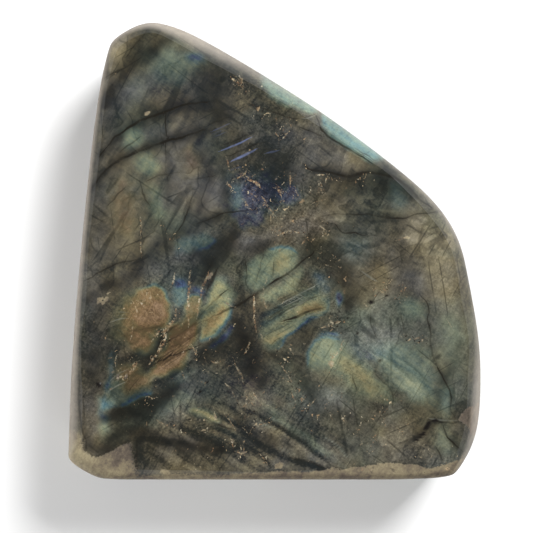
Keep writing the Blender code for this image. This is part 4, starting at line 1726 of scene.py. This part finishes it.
@dataclass(frozen=True)
class PolishedLabradorite:
    """Labradorite ground and polished to a gloss: a dark grey-green feldspar that flashes.

    Thin layers in the crystal throw back one colour where they lie right, so that colour has an
    edge that runs through the spectrum. The plain stone is cloudy, streaked and full of fine dark
    grains, and the polish leaves it smooth and clear, with frost where the edges were only ground.
    The frost's pale colour is partly painted reflection of the bright surroundings.
    """

    # Plain stone from its darkest to its lightest
    grey_green: tuple[str, ...] = ("#090a08", "#242620", "#484a3f", "#676a5b", "#8d9080")
    brown: tuple[str, ...] = ("#0e0a06", "#2c2318", "#544835", "#72654c", "#97896c")
    violet: tuple[str, ...] = ("#0c0b0d", "#262326", "#474346", "#646062", "#868283")
    # The flash, from a zone's edge to the copper in the middle
    spectrum: tuple[tuple[float, str], ...] = (
        (0.0, "#1d2031"),
        (0.10, "#2f345e"),
        (0.20, "#3f6191"),
        (0.30, "#527c86"),
        (0.42, "#6a8278"),
        (0.54, "#7d8971"),
        (0.66, "#8e8d69"),
        (0.78, "#8a7a53"),
        (0.90, "#8c7150"),
        (1.0, "#957a5f"),
    )
    crack: str = "#19150d"
    streak: str = "#8f9084"
    spark: str = "#7583b0"
    # Painted shade inside the pits
    pit: str = "#0f0c0a"
    rind: tuple[str, ...] = ("#2c2519", "#51463a", "#756a52", "#928769")
    crumb: tuple[str, ...] = ("#7b5f47", "#9a8263", "#a89779", "#b5aa92")
    dark_crumb: str = "#1d150f"
    # Pale frost on the ground edges, partly painted reflection of the bright surroundings
    frost: str = "#b2a89c"
    # How much of these colours' light comes back out of the clear stone
    depth: float = 0.76
    # Feldspar's own index
    index: float = 1.56
    polish_roughness: float = 0.17
    frost_roughness: float = 0.78

    # Sizes of the patterns, in mm
    grain: float = 0.6
    mottle: float = 2.6
    cell: float = 9.0
    hair: float = 0.7
    crumb_size: float = 0.9
    # Which way the fibres, cells and crumbs run, in degrees from +X, and how far they are drawn out
    hair_run: tuple[float, float] = (58, 7)
    fine_hair_run: tuple[float, float] = (-35, 7)
    cell_run: tuple[float, float] = (75, 1.5)
    crumb_run: tuple[float, float] = (50, 1.8)
    web_draw: float = 16
    # The hairlines' angle, how far apart they are in mm, and what their noise starts from
    webs: tuple[tuple[float, float, float], ...] = (
        (28.0, 5.0, 1.0),
        (-38.0, 6.0, -38.0),
        (98.0, 6.0, 98.0),
        (60.0, 5.0, 60.0),
    )

    # How much of the plain stone's light each of these takes away
    vein_darkness: float = 0.88
    hairline_darkness: float = 0.40
    crack_shade: float = 0.34

    def drawn(self, add: Add, in_mm: Socket, angle: float, times: float) -> Socket:
        """Places at which a pattern is drawn out so many times, along an angle in degrees from +X."""
        turned = add("Mapping", in_mm, {"Rotation": (0, 0, -math.radians(angle))})
        return add("Mapping", turned, {"Scale": (1 / times, 1, 0.4)})

    def patterns(self, add: Add) -> Patterns:
        """Adds the patterns that the layers share.

        Args:
            add: Adds a node to the material.

        Returns:
            Their sockets.
        """
        in_mm = add("Mapping", add("TexCoord", output="Object"), {"Scale": (1 / MM,) * 3})
        fibres = {"Detail": 2.0, "Roughness": 0.6}
        hair, fine_hair = (fibres | {"Scale": 1 / size} for size in (self.hair, 0.8 * self.hair))
        return Patterns(
            in_mm=in_mm,
            grain=add("TexNoise", in_mm, {"Scale": 1 / self.grain, "Detail": 3.0, "Roughness": 0.75}),
            mottle=add("TexNoise", in_mm, {"Scale": 1 / self.mottle, "Detail": 4.0, "Roughness": 0.65}),
            hairs=add("TexNoise", self.drawn(add, in_mm, *self.hair_run), hair),
            fine_hairs=add("TexNoise", self.drawn(add, in_mm, *self.fine_hair_run), fine_hair),
            busy=add("Attribute", "busy"),
        )

    def cells(self, add: Add, shared: Patterns) -> tuple[Socket, Socket]:
        """The crystal's large cells, bent by a slow noise.

        Args:
            add: Adds a node to the material.
            shared: The patterns that the layers share.

        Returns:
            A shade for each cell, and the seams between them, which show only here and there.
        """
        bend = add("TexNoise", shared.in_mm, {"Scale": 0.14, "Detail": 1.5}, output="Color")
        bend = add("VectorMath", "SCALE", bend, {"Scale": 11.0})
        bent = add("VectorMath", "ADD", self.drawn(add, shared.in_mm, *self.cell_run), bend)
        size, soft = {"Scale": 1 / self.cell}, {"Detail": 1.0, "Roughness": 0.6}
        shade = add("SeparateColor", add("TexVoronoi", bent, size, output="Color"))
        edge = add("MapRange", add("TexVoronoi", "DISTANCE_TO_EDGE", bent, size), 0.05, 0.0)
        place = add("TexNoise", shared.in_mm, size | soft)
        place = add("MapRange", place, 0.48, 0.66, 0.0, 0.8)
        return shade, add("Math", "MULTIPLY", edge, place)

    def hairlines(self, add: Add, shared: Patterns, angle: float, apart: float, seed: float) -> Socket:
        """Hairlines where a noise drawn out along an angle crosses its middle, only here and there.

        Args:
            add: Adds a node to the material.
            shared: The patterns that the layers share.
            angle: Their direction, in degrees from +X.
            apart: About how far apart they are, in mm.
            seed: What their noise starts from.

        Returns:
            1 on a line and 0 off it.
        """
        size = {"W": seed, "Scale": 1 / apart, "Detail": 0.5}
        lines = add("TexNoise", "4D", self.drawn(add, shared.in_mm, angle, self.web_draw), size)
        off_middle = add("Math", "ABSOLUTE", add("Math", "SUBTRACT", lines, 0.5))
        on_line = add("MapRange", off_middle, 0.016, 0.002)
        place = add("TexNoise", "4D", shared.in_mm, {"W": seed, "Scale": 0.10})
        return add("Math", "MULTIPLY", on_line, add("MapRange", place, 0.52, 0.61))

    def plain(self, add: Add, shared: Patterns) -> tuple[Socket, Socket]:
        """The stone without its flash.

        Args:
            add: Adds a node to the material.
            shared: The patterns that the layers share.

        Returns:
            How light it is, and its colour.
        """
        shade, lines = self.cells(add, shared)
        for web in self.webs:
            lines = add("Math", "MAXIMUM", lines, self.hairlines(add, shared, *web))

        # The mesh's own tone, with grain, mottle, fibres and cells about their middles
        grainy = add("Math", "MULTIPLY_ADD", shared.busy, 1.25, 0.30)
        grainy = add("Math", "MULTIPLY", add("Math", "ADD", shared.grain, -0.5), grainy)
        uneven = add("Math", "MULTIPLY_ADD", shared.mottle, 0.50, add("Math", "ADD", grainy, -0.24))
        hairy = add("Math", "MULTIPLY_ADD", shared.fine_hairs, 0.38, -0.43)
        hairy = add("Math", "MULTIPLY_ADD", shared.hairs, 0.50, hairy)
        share = add("Math", "MULTIPLY_ADD", shared.busy, 0.75, 0.45)
        uneven = add("Math", "MULTIPLY_ADD", hairy, share, uneven)
        uneven = add("Math", "MULTIPLY_ADD", shade, 0.20, add("Math", "ADD", uneven, -0.10))
        tone = add("Math", "MULTIPLY_ADD", add("Attribute", "tone"), 0.80, 0.41)
        lightness = add("Math", "MAXIMUM", add("Math", "ADD", tone, uneven), 0.08)

        # What darkens it: veins, thicker where the grain is, then hairlines and the shade by a crack
        vein = add("Math", "MULTIPLY_ADD", shared.grain, 1.5, 0.25)
        vein = add("Math", "MULTIPLY", add("Attribute", "veins"), vein)
        vein = add("Math", "MINIMUM", vein, 1.0)
        near = add("MapRange", add("Attribute", "crack_near"), 1.5, 0.0)
        near = add("Math", "MULTIPLY", near, add("Attribute", "crack_depth"))
        darkness = (vein, self.vein_darkness), (lines, self.hairline_darkness), (near, self.crack_shade)
        for cover, dark in darkness:
            left = add("Math", "MULTIPLY_ADD", cover, -dark, 1.0)
            lightness = add("Math", "MULTIPLY", lightness, left)

        colour = add("ValToRGB", lightness, stops=evenly(self.grey_green))
        for name, colours in (("brown", self.brown), ("violet", self.violet)):
            other = add("ValToRGB", lightness, stops=evenly(colours))
            cover = add("Attribute", name)
            colour = add("Mix", {0: cover, 6: colour, 7: other})
        return lightness, colour

    def flash(self, add: Add, shared: Patterns, lightness: Socket, stone: Socket) -> Socket:
        """Lays the flash over the plain stone, as dark as the stone is there.

        Args:
            add: Adds a node to the material.
            shared: The patterns that the layers share.
            lightness: How light the plain stone is.
            stone: The plain stone's colour.

        Returns:
            The colour with the flash.
        """
        order = add("Math", "MULTIPLY_ADD", shared.mottle, 0.26, -0.13)
        order = add("Math", "ADD", add("Attribute", "flash_order"), order)
        order = add("Math", "MULTIPLY_ADD", shared.fine_hairs, 0.16, add("Math", "ADD", order, -0.08))
        level = add("Math", "MULTIPLY_ADD", lightness, 1.30, 0.43)
        flash = add("VectorMath", "SCALE", add("ValToRGB", order, stops=self.spectrum), {"Scale": level})
        glow = add("Math", "MULTIPLY_ADD", shared.mottle, 0.6, 0.7)
        glow = add("Math", "MULTIPLY", add("Attribute", "flash_glow"), glow)
        glow = add("Math", "MINIMUM", glow, 1.0)
        return add("Mix", {0: glow, 6: stone, 7: flash})

    def stroke(self, add: Add, shared: Patterns, kind: LineKind) -> Socket:
        """The lines of one kind as strokes, broken up by the grain.

        Args:
            add: Adds a node to the material.
            shared: The patterns that the layers share.
            kind: Which lines.

        Returns:
            How much of the stone they cover, from 0 to 1.
        """
        side, near, depth = (add("Attribute", f"{kind.value}_{part}") for part in LINE_PARTS)
        core = add("MapRange", add("Math", "ABSOLUTE", side), 1.6, 0.3)
        core = add("Math", "MULTIPLY", core, add("MapRange", near, 0.95, 0.75))
        broken = add("Math", "MULTIPLY_ADD", shared.grain, 1.2, 0.4)
        strength = add("Math", "MULTIPLY", depth, broken)
        return add("Math", "MINIMUM", add("Math", "MULTIPLY", core, strength), 1.0)

    def rind_tone(self, add: Add, shared: Patterns) -> Socket:
        """How light the tan rind is: the mesh's own tone with mottle, grain and fibres.

        Args:
            add: Adds a node to the material.
            shared: The patterns that the layers share.

        Returns:
            The place between its darkest and its lightest colour.
        """
        tone = add("Math", "MULTIPLY_ADD", shared.grain, 0.6, -0.35)
        tone = add("Math", "MULTIPLY_ADD", shared.mottle, 1.1, tone)
        tone = add("Math", "MULTIPLY_ADD", add("Attribute", "tone"), 1.1, tone)
        return add("Math", "MULTIPLY_ADD", shared.hairs, 0.5, add("Math", "ADD", tone, -0.25))

    def crumbs(self, add: Add, shared: Patterns, colour: Socket) -> Socket:
        """Fills the open breaks with crumbs and strews dark and pale ones over the stone.

        The pale ones are the middles of small cells, bent and drawn out a little. A cell has one
        where its own chance is below the density there.

        Args:
            add: Adds a node to the material.
            shared: The patterns that the layers share.
            colour: The stone's colour.

        Returns:
            The colour with the crumbs.
        """
        fine = {"Detail": 2.0, "Roughness": 0.6}
        hue = add("TexNoise", shared.in_mm, {"Scale": 1 / self.crumb_size, "Detail": 1.0, "Roughness": 0.6})
        hue = add("ValToRGB", add("MapRange", hue, 0.35, 0.65), stops=evenly(self.crumb))
        lumps = add("TexNoise", shared.in_mm, fine | {"Scale": 1 / (self.crumb_size * 0.6)})
        lumps = add("MapRange", lumps, 0.42, 0.56)
        cover = add("Math", "MULTIPLY", self.stroke(add, shared, LineKind.FILLED), lumps)
        colour = add("Mix", {0: cover, 6: colour, 7: hue})

        strewn = add("Attribute", "flecks")
        specks = add("TexNoise", shared.in_mm, fine | {"Scale": 1 / (self.crumb_size * 0.7)})
        specks = add("MapRange", specks, 0.60, 0.68)
        thick = add("MapRange", strewn, 0.0, 0.4)
        thick = add("Math", "MAXIMUM", thick, add("Math", "MULTIPLY", shared.busy, 0.55))
        cover = add("Math", "MULTIPLY", specks, thick)
        colour = add("Mix", {0: cover, 6: colour, 7: linear(self.dark_crumb)})

        bend = add("TexNoise", shared.in_mm, {"Scale": 0.5}, output="Color")
        bend = add("VectorMath", "SCALE", bend, {"Scale": 3.0})
        scattered = add("VectorMath", "ADD", self.drawn(add, shared.in_mm, *self.crumb_run), bend)
        density = add("Math", "MULTIPLY_ADD", shared.busy, 0.13, -0.03)
        density = add("Math", "MULTIPLY_ADD", strewn, 1.2, density)
        for size in (self.crumb_size, self.crumb_size * 0.6):
            distance = add("TexVoronoi", scattered, {"Scale": 1 / size})
            chance = add("SeparateColor", distance.node.outputs["Color"]).node.outputs
            chosen = add("Math", "SUBTRACT", density, chance[0])
            chosen = add("MapRange", chosen, 0.0, 0.06)
            cover = add("Math", "MULTIPLY", chosen, add("MapRange", distance, 0.34, 0.16))
            bright = add("Math", "MULTIPLY_ADD", add("Math", "POWER", chance[1], 1.5), 0.90, 0.15)
            cover = add("Math", "MULTIPLY", cover, bright)
            hue = add("ValToRGB", chance[2], stops=evenly(self.crumb))
            colour = add("Mix", {0: cover, 6: colour, 7: hue})
        return colour

    def material(self) -> bpy.types.Material:
        """Builds the material.

        Returns:
            The material, which reads the mesh's fields and Object coordinates.
        """
        material = bpy.data.materials.new("polished_labradorite")
        material.use_nodes = True
        tree = material.node_tree
        add = partial(add_node, tree)
        shared = self.patterns(add)
        lightness, colour = self.plain(add, shared)
        colour = self.flash(add, shared, lightness, colour)

        # A crack lets a little of the stone show through
        crack = self.stroke(add, shared, LineKind.CRACK)
        strokes = (
            (add("Math", "MULTIPLY", crack, 0.92), self.crack),
            (self.stroke(add, shared, LineKind.STREAK), self.streak),
            (self.stroke(add, shared, LineKind.SPARK), self.spark),
        )
        for cover, hue in strokes:
            colour = add("Mix", {0: cover, 6: colour, 7: linear(hue)})
        colour = add("VectorMath", "SCALE", colour, {"Scale": self.depth})

        # Tan rind with a grainy border, crumbs, and painted shade in the pits
        rind = add("Math", "ADD", add("Attribute", "tan"), -0.7)
        rind = add("MapRange", add("Math", "MULTIPLY_ADD", shared.grain, 1.4, rind), 0.15, 0.85)
        hue = add("ValToRGB", self.rind_tone(add, shared), stops=evenly(self.rind))
        colour = add("Mix", {0: rind, 6: colour, 7: hue})
        colour = self.crumbs(add, shared, colour)
        # Painted shade: the pits are filled near-black
        pits = add("Attribute", "pits")
        colour = add("Mix", {0: pits, 6: colour, 7: linear(self.pit)})

        # Frost on the edges, in patches; its pale colour is partly painted reflection of the bright
        # surroundings
        frost = add("Math", "MULTIPLY_ADD", shared.mottle, 0.5, 0.6)
        frost = add("Math", "MULTIPLY", add("Attribute", "frost"), frost)
        frost = add("Math", "MULTIPLY", frost, 0.75)
        colour = add("Mix", {0: frost, 6: colour, 7: linear(self.frost)})

        dull = add("Math", "MAXIMUM", add("Attribute", "ground"), rind)
        gloss = self.polish_roughness, self.frost_roughness
        height = add("Math", "SUBTRACT", add("Math", "MULTIPLY", shared.grain, 0.3), crack)
        bump = {"Strength": 0.25, "Distance": 0.05 * MM, "Height": height}

        shader = tree.nodes["Principled BSDF"]
        tree.links.new(colour, shader.inputs["Base Color"])
        tree.links.new(add("MapRange", dull, 0.0, 1.0, *gloss), shader.inputs["Roughness"])
        tree.links.new(add("Bump", bump), shader.inputs["Normal"])
        shader.inputs["IOR"].default_value = self.index
        return material


# The stone


@dataclass
class LabradoriteStone:
    """The whole stone: its surface, what is painted on it and its material."""

    surface: StoneSurface = field(default_factory=StoneSurface)
    finish: PolishedLabradorite = field(default_factory=PolishedLabradorite)

    def build(self) -> bpy.types.Object:
        """Makes the stone's object.

        Returns:
            The object, at the origin, with its fields stored on its mesh.
        """
        self.surface.build()
        paint = StonePaint(self.surface.points.copy(), self.surface.frost, self.surface.ground)
        paint.paint()
        self.surface.wear()
        mesh = self.surface.mesh("labradorite_freeform")
        paint.put_on(mesh)
        stone = bpy.data.objects.new("labradorite_freeform", mesh)
        bpy.context.scene.collection.objects.link(stone)
        return stone

    def dress(self, stone: bpy.types.Object) -> None:
        """Gives the stone its material."""
        stone.data.materials.append(self.finish.material())


# The studio


@dataclass(frozen=True)
class SoftBox:
    """A soft light: where it hangs in mm, its width and height in mm, and its power in watts."""

    name: str
    place: tuple[float, float, float]
    size: tuple[float, float]
    power: float


@dataclass
class Studio:
    """A white table under a plain sky, soft lights and a camera that looks straight down."""

    # What one pixel of the 533 pixel frame covers at the outline, in mm
    pixel: float = 0.2634
    frame_pixels: int = 533
    lens: float = 100.0
    sensor: float = 36.0
    # The middle of the frame, in mm
    aim: Point = (-2.35, -4.25)
    # How far the widest outline lies below the face's edge, in mm
    outline_drop: float = 5.0
    # Half the table's width, in mm
    table_half: float = 1500
    sky: float = 0.15
    boxes: tuple[SoftBox, ...] = (
        SoftBox("key", (520.0, 640.0, 620.0), (440.0, 440.0), 17.4),
        SoftBox("fill", (-620.0, -330.0, 420.0), (400.0, 700.0), 5.0),
        SoftBox("front_strip", (300.0, -660.0, 420.0), (400.0, 700.0), 0.9),
    )

    def table(self) -> bpy.types.Object:
        """Makes the white table top, level with the stone's back.

        Returns:
            Its object.
        """
        mesh = bpy.data.meshes.new("table_top")
        half = self.table_half * MM
        corners = [(-half, -half, 0), (half, -half, 0), (half, half, 0), (-half, half, 0)]
        mesh.from_pydata(corners, [], [(0, 1, 2, 3)])
        material = bpy.data.materials.new("white_table")
        material.use_nodes = True
        shader = material.node_tree.nodes["Principled BSDF"]
        shader.inputs["Base Color"].default_value = linear("#f3f3f3")
        shader.inputs["Roughness"].default_value = 0.8
        mesh.materials.append(material)
        table = bpy.data.objects.new("table_top", mesh)
        bpy.context.scene.collection.objects.link(table)
        return table

    def light(self) -> None:
        """Hangs the soft lights, each turned to the stone, under an even white sky."""
        world = bpy.data.worlds.new("white_sky")
        world.use_nodes = True
        background = world.node_tree.nodes["Background"]
        background.inputs["Color"].default_value = (1.0, 1.0, 1.0, 1.0)
        background.inputs["Strength"].default_value = self.sky
        bpy.context.scene.world = world
        for box in self.boxes:
            lamp = bpy.data.lights.new(box.name, "AREA")
            lamp.shape = "RECTANGLE"
            lamp.size, lamp.size_y = (side * MM for side in box.size)
            lamp.energy = box.power
            hung = bpy.data.objects.new(box.name, lamp)
            place = Vector(box.place) * MM
            hung.location = place
            hung.rotation_euler = (-place).to_track_quat("-Z", "Y").to_euler()
            bpy.context.scene.collection.objects.link(hung)

    def camera(self) -> None:
        """Puts the camera straight above the stone, as far off as its lens needs to fill the frame."""
        data = bpy.data.cameras.new("camera")
        data.lens = self.lens
        data.sensor_width = self.sensor
        camera = bpy.data.objects.new("camera", data)
        distance = self.frame_pixels * self.pixel * self.lens / self.sensor
        outline_height = THICKNESS - CROWN - self.outline_drop
        camera.location = (self.aim[0] * MM, self.aim[1] * MM, (outline_height + distance) * MM)
        bpy.context.scene.collection.objects.link(camera)
        bpy.context.scene.camera = camera
        bpy.context.scene.view_settings.view_transform = "Standard"


def main() -> None:
    """Builds the stone and the studio."""
    logging.basicConfig(level=logging.INFO, format="%(name)s: %(message)s")
    studio = Studio()
    studio.camera()

    builder = LabradoriteStone()
    stone = builder.build()
    builder.dress(stone)
    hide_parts(NODE)
    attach(stone, "root")
    LOG.info("%s: %d points, %d faces", stone.name, len(stone.data.vertices), len(stone.data.polygons))

    studio.table()
    studio.light()
    LOG.info("studio: %d lights", len(studio.boxes))


if __name__ == "__main__":
    main()
